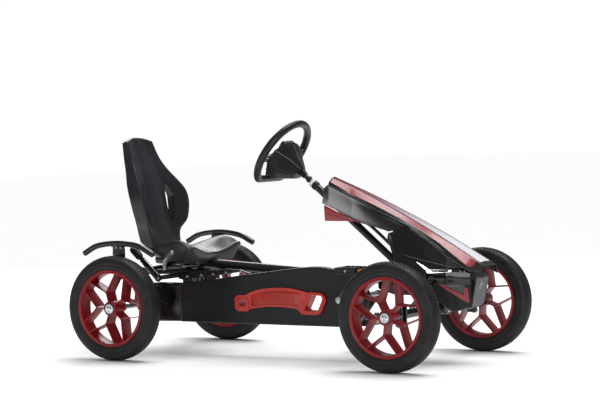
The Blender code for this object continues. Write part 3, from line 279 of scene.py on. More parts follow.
class Shape:
    """Points and faces that are collected into one mesh."""

    def __init__(self):
        self.points = []
        self.faces = []
        self.spots = []

    def add(self, points, faces, spot=0):
        start = len(self.points)
        self.points.extend(Vector(p) for p in points)
        self.faces.extend(tuple(start + i for i in face) for face in faces)
        self.spots.extend([spot] * len(faces))
        return self

    def place(self, shape, matrix=None, spot=None):
        points = [matrix @ p for p in shape.points] if matrix else shape.points
        start = len(self.points)
        self.points.extend(points)
        self.faces.extend(tuple(start + i for i in face) for face in shape.faces)
        self.spots.extend([spot if spot is not None else s for s in shape.spots])
        return self

    def object(self, name, fix=True):
        return mesh_object(name, self.points, self.faces, self.spots, fix)


def frame_of(axis):
    """Two directions at right angles to an axis and to each other."""
    axis = Vector(axis).normalized()
    helper = Vector((0, 0, 1)) if abs(axis.z) < 0.9 else Vector((1, 0, 0))
    first = axis.cross(helper).normalized()
    return first, axis.cross(first).normalized()


def circle(middle, radius, first, second, sides):
    """Points round a circle in the plane of two directions."""
    angles = [TAU * i / sides for i in range(sides)]
    return [middle + radius * (math.cos(a) * first + math.sin(a) * second) for a in angles]


def rings(loops, closed=False, capped=True):
    """Loops of equal length, skinned one to the next."""
    points = [p for loop in loops for p in loop]
    size = len(loops[0])
    count = len(loops)
    faces = []
    for i in range(count if closed else count - 1):
        low, high = i * size, ((i + 1) % count) * size
        for j in range(size):
            k = (j + 1) % size
            faces.append((low + j, low + k, high + k, high + j))
    if capped and not closed:
        faces.append(tuple(range(size))[::-1])
        faces.append(tuple((count - 1) * size + j for j in range(size)))
    return points, faces


def turned(profile, centre, axis, sides=32, closed=False, capped=True):
    """(distance along the axis, radius) points, turned about the axis."""
    axis = Vector(axis).normalized()
    first, second = frame_of(axis)
    loops = []
    for along, radius in profile:
        loops.append(circle(Vector(centre) + along * axis, radius, first, second, sides))
    return rings(loops, closed, capped)


def smooth(points, per_span=8, closed=False):
    """Catmull-Rom points through the given ones, in any number of dimensions."""
    data = [np.array(p, float) for p in points]
    count = len(data)
    if closed:
        ends = [data[-1]] + data + data[:2]
        spans = count
    else:
        ends = [2 * data[0] - data[1]] + data + [2 * data[-1] - data[-2]]
        spans = count - 1
    result = []
    for i in range(spans):
        a, b, c, d = ends[i : i + 4]
        for j in range(per_span):
            t = j / per_span
            squared, cubed = (2 * a - 5 * b + 4 * c - d) * t**2, (3 * b - a - 3 * c + d) * t**3
            result.append(0.5 * (2 * b + (c - a) * t + squared + cubed))
    if not closed:
        result.append(data[-1])
    return result


def tube(path, radius, sides=20, closed=False):
    """A round bar. radius is a number, or a function of the share of the length from 0 to 1."""
    path = [Vector(p) for p in path]
    count = len(path)

    def direction(i):
        if closed:
            return (path[(i + 1) % count] - path[i - 1]).normalized()
        return (path[min(i + 1, count - 1)] - path[max(i - 1, 0)]).normalized()

    def cap(i, share, turns):
        """Smaller copies of an end loop, which round that end off."""
        size = radius(share) if callable(radius) else radius
        out = direction(i) * size * 0.45 * (1 if share else -1)
        angles = [math.radians(turn) for turn in turns]
        return [[path[i] + out * math.sin(a) + (p - path[i]) * math.cos(a) for p in loops[i]] for a in angles]

    side = frame_of(direction(0))[0]
    loops = []
    for i, point in enumerate(path):
        along = direction(i)
        side = (side - side.dot(along) * along).normalized()
        other = along.cross(side)
        share = i / max(count - 1, 1)
        size = radius(share) if callable(radius) else radius
        loops.append(circle(point, size, side, other, sides))
    if not closed:
        loops = cap(0, 0.0, (80, 55, 28)) + loops + cap(count - 1, 1.0, (28, 55, 80))
    return rings(loops, closed)


def plate(outline, low, high, holes=(), axis="y"):
    """A flat plate. The outline and holes are (x, z) for axis y, (x, y) for axis z and (y, z) for axis x."""

    def put(p, level):
        a, b = p
        return {"y": Vector((a, level, b)), "z": Vector((a, b, level)), "x": Vector((level, a, b))}[axis]

    points = []
    faces = []
    loops = [outline, *holes]
    starts = []
    for loop in loops:
        starts.append((len(points), len(points) + len(loop), len(loop)))
        points += [put(p, low) for p in loop] + [put(p, high) for p in loop]
    for first, second, size in starts:
        for i in range(size):
            j = (i + 1) % size
            faces.append((first + i, first + j, second + j, second + i))
    if holes:
        for part in (0, 1):
            ids = [starts[k][part] + i for k in range(len(loops)) for i in range(starts[k][2])]
            flat = [[Vector((p[0], p[1], 0)) for p in loop] for loop in loops]
            faces += [tuple(ids[i] for i in triangle) for triangle in tessellate_polygon(flat)]
    else:
        first, second, size = starts[0]
        faces.append(tuple(range(first, first + size)))
        faces.append(tuple(range(second, second + size)))
    return points, faces


def arc(centre, radius, start, end, count):
    """count points along an arc, with its angles in degrees."""
    angles = [math.radians(start + (end - start) * i / (count - 1)) for i in range(count)]
    return [(centre[0] + radius * math.cos(a), centre[1] + radius * math.sin(a)) for a in angles]


def ring_points(centre, radius, count):
    return [(centre[0] + radius * math.cos(TAU * i / count), centre[1] + radius * math.sin(TAU * i / count))
            for i in range(count)]


def area_of(loop):
    return sum(a[0] * b[1] - b[0] * a[1] for a, b in zip(loop, loop[1:] + loop[:1])) / 2


def inset(loop, distance):
    """The loop moved inwards by a distance, whichever way it runs."""
    loop = list(loop)
    if area_of(loop) < 0:
        loop = loop[::-1]
    result = []
    count = len(loop)
    for i in range(count):
        before = Vector(loop[i]) - Vector(loop[i - 1])
        after = Vector(loop[(i + 1) % count]) - Vector(loop[i])
        normals = [Vector((-edge.y, edge.x)).normalized() for edge in (before, after)]
        middle = (normals[0] + normals[1]).normalized()
        result.append(tuple(Vector(loop[i]) + middle * distance / max(middle.dot(normals[0]), 0.35)))
    return result


def rounded(loop, radius, count=4):
    """The closed loop with its corners rounded. radius is one number or one for each corner."""
    result = []
    size = len(loop)
    for i in range(size):
        corner = Vector(loop[i])
        before = Vector(loop[i - 1]) - corner
        after = Vector(loop[(i + 1) % size]) - corner
        size_here = radius[i] if isinstance(radius, (list, tuple)) else radius
        reach = min(size_here, before.length * 0.45, after.length * 0.45)
        if reach < 1e-5:
            result.append(tuple(corner))
            continue
        start = corner + before.normalized() * reach
        end = corner + after.normalized() * reach
        for j in range(count + 1):
            t = j / count
            result.append(tuple((1 - t) ** 2 * start + 2 * t * (1 - t) * corner + t**2 * end))
    return result


def grid(rows, closed=False):
    """Rows of points with faces between them."""
    size = len(rows[0])
    points = [p for row in rows for p in row]
    faces = []
    for i in range(len(rows) - 1):
        for j in range(size if closed else size - 1):
            k = (j + 1) % size
            faces.append((i * size + j, i * size + k, (i + 1) * size + k, (i + 1) * size + j))
    return points, faces


def mirrored(half):
    """A row of points from one edge to the middle, with its mirror image after it."""
    return half + [(x, -y, z) for x, y, z in half[-2::-1]]


def clamp(value, low=0.0, high=1.0):
    return min(high, max(low, value))


def between(a, b, share):
    return (a[0] + (b[0] - a[0]) * share, a[1] + (b[1] - a[1]) * share)


def stands_for(node_name, slot):
    return dict(replaces=(node_name,), slot=slot)


SIDES = (("right", -1), ("left", 1))


def bevel(obj, width, segments=2, angle=30):
    """Rounds the edges that turn by more than the angle."""
    made = obj.modifiers.new("bevel", "BEVEL")
    made.width = width
    made.segments = segments
    made.limit_method = "ANGLE"
    made.angle_limit = math.radians(angle)
    return applied(obj)


def applied(obj):
    """The object with its modifiers made part of its mesh."""
    bpy.context.view_layer.update()
    graph = bpy.context.evaluated_depsgraph_get()
    mesh = bpy.data.meshes.new_from_object(obj.evaluated_get(graph))
    obj.modifiers.clear()
    old = obj.data
    obj.data = mesh
    bpy.data.meshes.remove(old)
    mesh.name = obj.name
    return obj


def solidify(obj, thickness, offset=-1.0):
    """Thickness for an open sheet, inwards at an offset of -1."""
    made = obj.modifiers.new("thickness", "SOLIDIFY")
    made.thickness = thickness
    made.offset = offset
    made.use_even_offset = True
    return obj


def sheet(name, rows, body, paint, thickness, offset=-1.0, flip=False, angle=30, **owner):
    """One object from rows of points, made into a sheet of this thickness."""
    obj = Shape().add(*grid(rows)).object(name)
    if flip:
        obj.data.flip_normals()
    return finish(applied(solidify(obj, thickness, offset)), body, M[paint], angle=angle, **owner)


def bolt(place, axis, head=0.007, height=0.004, socket=True):
    """A cap screw head with a hexagon socket, on a washer."""
    shape = Shape()
    axis = Vector(axis).normalized()
    washer = [(0, head * 1.35), (0.001, head * 1.45), (0.0014, head * 1.35), (0.0014, head * 0.9)]
    shape.add(*turned(washer, place, axis, 20))
    if socket:
        profile = [(0.0012, head), (height * 0.75, head), (height, head * 0.86), (height, head * 0.55),
                   (height * 0.45, head * 0.52)]
        shape.add(*turned(profile, place, axis, 18))
    else:
        shape.add(*turned([(0.0012, head), (height * 0.8, head), (height, head * 0.85)], place, axis, 6))
    return shape


def weld_bead(centre, axis, radius, width=0.0028, seed=1, shift_at=None):
    """A rippled weld bead round a tube. shift_at moves it at an angle."""
    first, second = frame_of(axis)
    chance = random.Random(seed)
    count = 56
    path = []
    sizes = []
    for i in range(count):
        a = TAU * i / count
        reach = radius + chance.uniform(-0.0004, 0.0004)
        shift = shift_at(a) if shift_at else Vector((0, 0, 0))
        path.append(Vector(centre) + reach * (math.cos(a) * first + math.sin(a) * second) + shift)
        sizes.append(width * (0.85 + 0.25 * (i % 2)) * chance.uniform(0.92, 1.08))
    loops = []
    sides = 8
    for i, point in enumerate(path):
        along = (path[(i + 1) % count] - path[i - 1]).normalized()
        out = (point - Vector(centre)).normalized()
        out = (out - out.dot(along) * along).normalized()
        loops.append(circle(point, sizes[i], out, along.cross(out), sides))
    return rings(loops, closed=True)


# ---------------------------------------------------------------- studio


WORLD_LIGHT, WORLD_SEEN = 0.29, 1.02
LENS, SENSOR_WIDTH = 136.89, 36
CAMERA_PLACE, CAMERA_ANGLES = (4.46885, -7.48807, 0.99218), (30.797, 2.5989, -1.1896)


def studio():
    """The camera, a pale floor, a world that lights less than it shows, a sun and two soft boxes."""
    camera = bpy.data.cameras.new("camera")
    camera.lens = LENS
    camera.sensor_width = SENSOR_WIDTH
    holder = bpy.data.objects.new("camera", camera)
    azimuth, elevation, roll = (math.radians(angle) for angle in CAMERA_ANGLES)
    back = Vector((math.sin(azimuth) * math.cos(elevation), -math.cos(azimuth) * math.cos(elevation),
                   math.sin(elevation)))
    right = (-back).cross(Vector((0, 0, 1))).normalized()
    up = back.cross(right)
    right, up = math.cos(roll) * right + math.sin(roll) * up, math.cos(roll) * up - math.sin(roll) * right
    place = Matrix((right, up, back)).transposed().to_4x4()
    place.translation = Vector(CAMERA_PLACE) + MIDDLE
    holder.matrix_world = place
    SCENE.collection.objects.link(holder)
    SCENE.camera = holder

    floor = mesh_object("floor", [(-14, -12, 0), (14, -12, 0), (14, 26, 0), (-14, 26, 0)], [(0, 1, 2, 3)],
                        fix=False)
    pale = material("studio_floor", (0.925, 0.925, 0.925), 0.9, specular=0.1)
    uneven(pale, (0.92, 0.92, 0.92), (0.93, 0.93, 0.93), 2)
    floor.data.materials.append(pale)

    world = bpy.data.worlds.new("studio")
    SCENE.world = world
    world.use_nodes = True
    tree = world.node_tree
    tree.nodes.clear()
    lit, seen = (
        node(tree, "ShaderNodeBackground", in_Color=(1, 1, 1, 1), in_Strength=strength).outputs[0]
        for strength in (WORLD_LIGHT, WORLD_SEEN)
    )
    path = node(tree, "ShaderNodeLightPath")
    mix = node(tree, "ShaderNodeMixShader", {0: path.outputs["Is Camera Ray"], 1: lit, 2: seen})
    node(tree, "ShaderNodeOutputWorld", {"Surface": mix.outputs[0]})

    lamp = bpy.data.lights.new("overhead", "SUN")
    lamp.energy = 2.55
    lamp.angle = math.radians(42)
    held = bpy.data.objects.new("overhead", lamp)
    held.rotation_euler = [math.radians(a) for a in (-12, 8, 0)]
    SCENE.collection.objects.link(held)

    def soft_box(name, place, target, size, power):
        lamp = bpy.data.lights.new(name, "AREA")
        lamp.shape = "RECTANGLE"
        lamp.size, lamp.size_y = size
        lamp.energy = power
        held = bpy.data.objects.new(name, lamp)
        held.location = place
        held.rotation_euler = (Vector(target) - Vector(place)).to_track_quat("-Z", "Y").to_euler()
        SCENE.collection.objects.link(held)

    soft_box("back_left", (-2.4, 2.6, 2.6), (0, 0, 0.4), (2.4, 1.4), 60)
    soft_box("front_right", (2.6, -3.4, 1.8), (0.1, 0, 0.4), (1.8, 1.8), 36)
    SCENE.view_settings.view_transform = "Standard"
    SCENE.view_settings.look = "None"


studio()


# ---------------------------------------------------------------- wheels

TREAD_ROWS = [(0.0, 0.0043, 0.0), (0.006, 0.0132, 0.5), (0.0149, 0.0221, 0.0), (0.0238, 0.0296, 0.5)]
TREAD_PITCHES = 84
BLOCK_HEIGHT = 0.0021


def crown(along):
    """The tread's radius at a distance from the tyre's middle plane."""
    return 0.2 - 0.008 * (abs(along) / 0.0296) ** 2.3


def tyre(name, centre, body):
    """Side walls with their steps and ribs, and a tread of rows of blocks."""
    side = [(0.0294, 0.1386), (0.0297, 0.1474), (0.0318, 0.1486), (0.0337, 0.1502), (0.0345, 0.1524),
            (0.0341, 0.1546)]
    side += [(0.0347, 0.1558), (0.0355, 0.1574), (0.0358, 0.1612), (0.0358, 0.1652), (0.0354, 0.1668),
             (0.0347, 0.1678)]
    side += [(0.0353, 0.169), (0.0356, 0.1722), (0.0354, 0.1768), (0.0347, 0.1812), (0.0335, 0.1852),
             (0.0318, 0.1886)]
    half = []
    for low, high, shift in TREAD_ROWS[::-1]:
        half.append((high + 0.0001, BLOCK_HEIGHT, shift, False))
        half.append((high - 0.0005, 0.0, shift, True))
        half.append(((high + low) / 2, 0.0, shift, True))
        if low:
            half.append((low + 0.0005, 0.0, shift, True))
            half.append((low - 0.0001, BLOCK_HEIGHT, shift, False))
    tread = half[1:] + [(-a, d, s, r) for a, d, s, r in half[::-1][1:-1]]
    angles = []
    for i in range(TREAD_PITCHES):
        for share, top in ((0.0, False), (0.05, True), (0.42, True), (0.79, True), (0.84, False)):
            angles.append(((i + share) / TREAD_PITCHES * TAU, top))
    shape = Shape()
    x, y, z = centre
    rows = []

    def ring(along, radius_at):
        row = []
        for angle, top in angles:
            radius, turn = radius_at(angle, top)
            row.append(Vector((x + radius * math.cos(turn), y + along, z + radius * math.sin(turn))))
        rows.append(row)

    for along, radius in side:
        ring(along, lambda angle, top, radius=radius: (radius, angle))
    for along, drop, shift, raised in tread:
        def radius_at(angle, top, along=along, drop=drop, shift=shift, raised=raised):
            full = crown(along)
            low = full - BLOCK_HEIGHT
            turn = angle + shift * TAU / TREAD_PITCHES
            return (full if raised and top else low), turn
        ring(along, radius_at)
    for along, radius in side[::-1]:
        ring(-along, lambda angle, top, radius=radius: (radius, angle))
    shape.add(*rings(rows, closed=True))
    obj = shape.object(f"{name}_tyre_moulded")
    finish(obj, body, M["rubber"], replaces=(f"{name}_tyre",), angle=28, slot="black_rubber")


def polar(centre, radius, angle):
    angle = math.radians(angle)
    return centre[0] + radius * math.cos(angle), centre[1] + radius * math.sin(angle)


def rim(name, centre, phase, body):
    """Five forked spokes in a band with two lips, and a hub."""
    x, y, z = centre
    flat = (x, z)
    wall = 0.0018
    inner = 0.1343
    windows = []
    for i in range(5):
        arm = phase + 72 * i
        following = arm + 72
        fork = 27.0
        inside = [polar(flat, 0.063, arm), *arc(flat, inner + wall, arm - fork, arm + fork, 13)]
        windows.append(rounded(inset(inside, wall), [0.004, 0.003] + [0] * 11 + [0.003], 4))
        gap = [*arc(flat, inner + wall, arm + fork, following - fork, 6), polar(flat, 0.063, following)]
        gap += [*arc(flat, 0.0265, following, arm, 7), polar(flat, 0.063, arm)]
        windows.append(rounded(inset(gap, wall), [0.003] + [0] * 4 + [0.003,
                                                                      0.006] + [0.004] + [0] * 5 + [0.004,
                                                                                                    0.006],
                               4))
    shape = Shape()
    shape.add(*plate(ring_points(flat, 0.1362, 96), y - 0.0304, y + 0.0304,
                     [*windows, ring_points(flat, 0.0104, 32)]))
    lattice = bevel(shape.object(f"{name}_rim_spokes"), 0.0009, 2, 50)
    finish(lattice, body, M["red_rim"], replaces=(f"{name}_rim",), angle=30, slot="red_rim")
    lip = [(0.03, 0.1345), (0.0318, 0.135), (0.0329, 0.1362), (0.0331, 0.138), (0.0327, 0.1396),
           (0.0317, 0.1408)]
    lip += [(0.0316, 0.1432), (0.0325, 0.1443), (0.0333, 0.1456), (0.0331, 0.1468), (0.0322, 0.1473),
            (0.03, 0.147)]
    lip += [(0.0297, 0.1383)]
    profile = lip + [(0.0, 0.1381)] + [(-a, r) for a, r in lip[::-1]] + [(0.0, 0.1343)]
    band = Shape().add(*turned(profile, centre, ACROSS, 128, closed=True)).object(f"{name}_rim_band")
    finish(band, body, M["red_rim"], replaces=(f"{name}_rim",), angle=40, slot="red_rim")
    hub = Shape()
    profile = [(0.0296, 0.0106), (0.0322, 0.011), (0.0328, 0.0122), (0.0328, 0.025), (0.0318, 0.0266),
               (0.029, 0.0272)]
    hub.add(*turned(profile + [(-a, r) for a, r in profile[::-1]], centre, ACROSS, 48, closed=True))
    finish(hub.object(f"{name}_rim_hub"), body, M["red_rim"], replaces=(f"{name}_rim",), angle=40,
           slot="red_rim")


def hub_cap(name, centre, out, body):
    """A ring, a domed disc and a generic three-armed pattern on it."""
    ring = [(0.0334, 0.018), (0.0334, 0.0222), (0.0352, 0.0225), (0.0364, 0.0219), (0.037, 0.0208),
            (0.0366, 0.0194), (0.0356, 0.0186)]
    surround = Shape().add(*turned(ring, centre, (0, out, 0), 56,
                                   closed=True)).object(f"{name}_hub_cap_surround")
    finish(surround, body, M["gloss"], **stands_for(f"{name}_hub_cap", "black_plastic"))
    dome = [(0.0334, 0.0184), (0.0352, 0.0184), (0.0362, 0.0176), (0.0366, 0.016), (0.0366, 0.0142),
            (0.0362, 0.0136)]
    dome += [(0.0362, 0.0122), (0.0366, 0.0116), (0.0369, 0.0098), (0.0373, 0.006), (0.0374, 0.0002)]
    disc = Shape().add(*turned(dome, centre, (0, out, 0), 56)).object(f"{name}_hub_cap_disc")
    finish(disc, body, M["bright"], **stands_for(f"{name}_hub_cap", "satin_steel"))
    mark = Shape()
    for i in range(3):
        a = TAU * i / 3 + 0.4
        outline = [(0.004, -0.0016), (0.0098, -0.003), (0.0104, 0.0), (0.0098, 0.003), (0.004, 0.0016)]
        spot = []
        for r, t in outline:
            spot.append((centre[0] + r * math.cos(a) - t * math.sin(a),
                         centre[2] + r * math.sin(a) + t * math.cos(a)))
        low, high = sorted((centre[1] + out * 0.0364, centre[1] + out * 0.03755))
        mark.add(*plate(spot, low, high))
    finish(mark.object(f"{name}_hub_cap_inlay"), body, M["gloss"],
           **stands_for(f"{name}_hub_cap", "black_plastic"))


def wheels():
    """The four wheels, with the spokes turned as they are in the photo."""
    for name, x, y, phase, body in (
        ("front_right", FRONT_X, -FRONT_Y, 46.0, "front_right_wheel_body"),
        ("front_left", FRONT_X, FRONT_Y, 51.0, "front_left_wheel_body"),
        ("rear_right", REAR_X, -REAR_Y, 34.0, "rear_axle_body"),
        ("rear_left", REAR_X, REAR_Y, 20.0, "rear_left_wheel_body"),
    ):
        centre = (x, y, AXLE_Z)
        tyre(name, centre, body)
        rim(name, centre, phase, body)
        hub_cap(name, centre, 1 if y > 0 else -1, body)


wheels()


# ---------------------------------------------------------------- welded frame, axles and steering


def tube_z(x):
    """The height of the main tube's middle line."""
    return 0.322 - TUBE_SLOPE * x


def straight(start, end, radius, sides=40, edge=0.001):
    """A bar with its end edges broken."""
    start, end = Vector(start), Vector(end)
    length = (end - start).length
    profile = [(0, radius - edge), (edge, radius), (length - edge, radius), (length, radius - edge)]
    return turned(profile, start, end - start, sides)


def box(low, high):
    (x0, y0, z0), (x1, y1, z1) = low, high
    return plate([(x0, z0), (x1, z0), (x1, z1), (x0, z1)], y0, y1)


def solid(name, body, paint, *parts, width=0.0, angle=35, replaces=(), slot=None, segments=2):
    """One object from several (points, faces) shapes, with its edges rounded when width is given."""
    shape = Shape()
    for part in parts:
        if isinstance(part, Shape):
            shape.place(part)
        else:
            shape.add(*part)
    obj = shape.object(name)
    if width:
        bevel(obj, width, segments)
    return finish(obj, body, M[paint], replaces=replaces, angle=angle, slot=slot)


def frame_weldment():
    """The main tube and everything welded or bolted to it, except the fender bars and the column."""
    owner = stands_for("main_frame", "black_paint")
    ends = [(-0.655, 0, tube_z(-0.655)), (0.425, 0, tube_z(0.425))]
    solid("main_tube", "frame", "paint", straight(*ends, MAIN_TUBE_RADIUS, 48), **owner)
    plug = [(-0.0005, 0.0165), (0.0, 0.0188), (0.0022, 0.019), (0.0032, 0.0178), (0.0036, 0.012)]
    solid("main_tube_end_plug", "frame", "plastic", turned(plug, ends[0], (-1, 0, TUBE_SLOPE), 40), **owner)
    solid("rear_cross_tube", "frame", "paint", straight((CROSS_X, -0.3444, CROSS_Z),
                                                        (CROSS_X, 0.3444, CROSS_Z), 0.016, 40), **owner)
    carriers = []
    for side in (-1, 1):
        outline = [(-0.622, 0.333), (-0.632, 0.205), *arc((REAR_X, AXLE_Z), 0.034, 190, 350, 19),
                   (-0.548, 0.205), (-0.578, 0.333)]
        hole = ring_points((REAR_X, AXLE_Z), 0.0215, 40)
        light = ring_points((-0.594, 0.268), 0.011, 24)
        low, high = side * CARRIER_Y - 0.003, side * CARRIER_Y + 0.003
        carriers.append(plate(outline, low, high, [hole, light]))
        carriers.append(turned([(-0.01, 0.0213), (-0.01, 0.025), (0.01, 0.025), (0.01, 0.0213)],
                               (REAR_X, side * CARRIER_Y, AXLE_Z), ACROSS, 48, closed=True))
    solid("rear_axle_carriers", "frame", "paint", *carriers, width=0.0008, **owner)
    hangers = []
    for y in (-0.02, 0.02):
        outline = [(0.205, tube_z(0.205)), (0.241, 0.251), (0.2415, 0.2365), (0.2685, 0.2365),
                   (0.269, 0.251), (0.305, tube_z(0.305))]
        hangers.append(plate(rounded(outline, 0.004), y - 0.003, y + 0.003,
                             [ring_points((0.255, 0.276), 0.009, 24)]))
    solid("crank_hangers", "frame", "paint", *hangers, width=0.0007, **owner)
    shell = [(-0.036, 0.0167), (-0.036, 0.0212), (-0.0352, 0.022), (-0.031, 0.022), (-0.0305, 0.0215),
             (0.0305, 0.0215)]
    shell += [(0.031, 0.022), (0.0352, 0.022), (0.036, 0.0212), (0.036, 0.0167)]
    solid("crank_bearing_shell", "frame", "paint", turned(shell, (CRANK[0], 0, CRANK[1]), ACROSS, 48,
                                                          closed=True), **owner)
    cheeks = []
    outline = [(0.36, 0.268), (0.43, 0.247), (0.64, 0.247), (0.64, 0.266), (0.54, 0.3), (0.36, 0.318)]
    hole = rounded([(0.448, 0.258), (0.52, 0.258), (0.512, 0.283), (0.456, 0.29)], 0.008)
    for y in (-0.034, 0.034):
        cheeks.append(plate(rounded(outline, 0.006), y - 0.0025, y + 0.0025, [hole]))
    cheeks.append(box((0.362, -0.035, 0.29), (0.412, 0.035, 0.306)))
    for x in (0.547, 0.633):
        outline = [(-0.035, 0.258), (-0.035, 0.2), (-0.022, 0.178), (0.022, 0.178), (0.035, 0.2),
                   (0.035, 0.258)]
        cheeks.append(plate(rounded(outline, 0.005), x - 0.0025, x + 0.0025, axis="x"))
    solid("front_yoke", "frame", "paint", *cheeks, width=0.0007, **owner)
    pin = [straight((0.538, 0, AXLE_Z), (0.642, 0, AXLE_Z), 0.008, 24)]
    for x, axis in ((0.636, (1, 0, 0)), (0.544, (-1, 0, 0))):
        pin.append(turned([(0, 0.014), (0.0015, 0.0145), (0.0018, 0.011), (0.002, 0.011)], (x, 0, AXLE_Z),
                          axis, 28))
        pin.append(turned([(0.0018, 0.0112), (0.005, 0.0112), (0.0062, 0.0098)], (x, 0, AXLE_Z), axis, 6))
    solid("front_pivot_pin", "frame", "steel", *pin, angle=25, **owner)
    arm = [straight((-0.459, -0.01, 0.31), (-0.459, -0.2875, 0.31), 0.009, 28)]
    arm.append(plate(rounded([(-0.469, 0.304), (-0.449, 0.304), (-0.449, 0.337), (-0.469, 0.337)], 0.003),
                     -0.011, 0.013))
    solid("brake_outrigger", "frame", "paint", *arm, width=0.0005, **owner)
    stays = [straight((-0.6, side * 0.13, 0.318), (-0.34, side * 0.012, 0.318), 0.0095, 28)
             for side in (-1, 1)]
    solid("rear_stays", "frame", "paint", *stays, **owner)
    side_rail(owner)
    pivot = [straight((-0.459, -0.28, 0.31), (-0.459, -0.2978, 0.31), 0.0035, 20, 0.0004)]
    solid("brake_pivot_pin", "frame", "steel", *pivot, **owner)
    beads = []
    for seed, side in enumerate((-1, 1)):
        for k, shift in enumerate((-0.0042, 0.0042)):
            beads.append(weld_bead((CROSS_X, side * CARRIER_Y + shift, CROSS_Z), ACROSS, 0.0162, 0.0022,
                                   3 * seed + k))
    slope = (1, 0, -TUBE_SLOPE)
    first, second = frame_of(slope)

    def ground_flat(a):
        """The seat's saddle slides over the top half of these two beads, so that half is ground away."""
        out = math.cos(a) * first + math.sin(a) * second
        return out * (-0.0042 if out.z > -0.06 else 0.0)

    for seed, x in enumerate((-0.617, -0.583)):
        beads.append(weld_bead((x, 0, tube_z(x)), slope, MAIN_TUBE_RADIUS, 0.002, 10 + seed, ground_flat))
    beads.append(weld_bead((0.366, 0, tube_z(0.366)), slope, MAIN_TUBE_RADIUS, 0.0021, 15))
    beads.append(weld_bead((-0.459, -0.0125, 0.31), ACROSS, 0.0092, 0.0017, 17))
    for y in (-0.0242, 0.0242):
        beads.append(weld_bead((CRANK[0], y, CRANK[1]), ACROSS, 0.0216, 0.0016, 21))
    solid("frame_weld_beads", "frame", "paint", *beads, angle=60, **owner)


GUARD_TOP = [(-0.467, 0.2765), (-0.398, 0.285), (-0.328, 0.294), (-0.215, 0.3098), (-0.1, 0.327),
             (0.01, 0.34)]


def guard_top_z(x):
    """The height of the chain guard's top edge."""
    return float(np.interp(x, [a for a, _ in GUARD_TOP], [b for _, b in GUARD_TOP]))


def side_rail(owner):
    """The pressed rail over the chain guard, with its bead and its bolts."""
    outline = [(-0.482, 0.312), (-0.482, 0.2925)]
    for rear, front in ((-0.463, -0.421), (-0.381, -0.37), (-0.344, -0.296), (-0.268, -0.259)):
        for x, foot in ((rear, False), (rear, True), (front, True), (front, False)):
            outline.append((x, guard_top_z(x) + (0.0006 if foot else 0.0125)))
    outline += [(-0.191, guard_top_z(-0.191) + 0.0125), (-0.15, guard_top_z(-0.15) + 0.0006)]
    outline += [(-0.2, 0.3345), (-0.259, 0.335), (-0.467, 0.3155)]
    solid("side_rail_plate", "frame", "paint", plate(rounded(outline, 0.0022, 2), -0.1175, -0.1085),
          width=0.0007, **owner)
    path = [(-0.474, -0.118, 0.3112), (-0.259, -0.118, 0.3312), (-0.205, -0.118, 0.3308)]
    solid("side_rail_bead", "frame", "gloss", tube(path, 0.0016, 12), **owner)
    bolts = Shape()
    for x, z in ((-0.442, 0.302), (-0.376, 0.3085), (-0.322, 0.313), (-0.263, 0.32), (-0.196, 0.325)):
        bolts.place(bolt((x, -0.1178, z), (0, -1, 0), 0.0042, 0.0034, socket=False))
    solid("side_rail_bolts", "frame", "steel", bolts, **owner)


def fenders():
    """A bent bar over each rear wheel, its bracket on the cross tube, bolts and weld beads."""
    for name, side in SIDES:
        y = side * 0.36
        path = [(-0.752, y, 0.404), (-0.69, y, 0.434), (-0.594, y, 0.4455), (-0.5, y, 0.434),
                (-0.435, y, 0.404)]
        node_name = f"fender_bar_{name}"
        solid(f"{node_name}_tube", "frame", "gloss", tube(smooth(path, 16), 0.0113, 36),
              **stands_for(node_name, "black_paint"), angle=50)
        low, high = sorted((side * 0.345, side * 0.3505))
        outline = [(-0.622, 0.306), (-0.578, 0.306), (-0.572, 0.404), (-0.574, 0.438), (-0.626, 0.438),
                   (-0.628, 0.404)]
        holes = [ring_points((-0.6, 0.386), 0.006, 20)]
        solid(f"{node_name}_bracket", "frame", "paint", plate(rounded(outline, 0.005), low, high, holes),
              width=0.0009, **stands_for(node_name, "black_paint"))
        bolts = Shape()
        out = side * 0.3505
        for x, z in ((CROSS_X, CROSS_Z), (-0.611, 0.428), (-0.589, 0.428)):
            bolts.place(bolt((x, out, z), (0, side, 0), 0.0058 if z < 0.4 else 0.004, 0.0042))
        solid(f"{node_name}_bolts", "frame", "steel", bolts, **stands_for(node_name, "black_paint"))
        clips = []
        for x in (-0.622, -0.578):
            clips.append(weld_bead((x, y, 0.4432 if x < -0.6 else 0.444), (1, 0, 0.05), 0.0113, 0.0012, 31))
        solid(f"{node_name}_beads", "frame", "paint", *clips, **stands_for(node_name, "black_paint"),
              angle=60)


ANGLE = math.radians(40.0)
DOWN = Vector((math.cos(ANGLE), 0, -math.sin(ANGLE)))
NORMAL = Vector((math.sin(ANGLE), 0, math.cos(ANGLE)))
TOP = Vector((0.0605, 0, 0.6655))


def along(distance, side=0.0, above=0.0):
    """A point by its distance down the steering column, its side and its height above it."""
    return TOP + DOWN * distance + Vector((0, side, 0)) + NORMAL * above


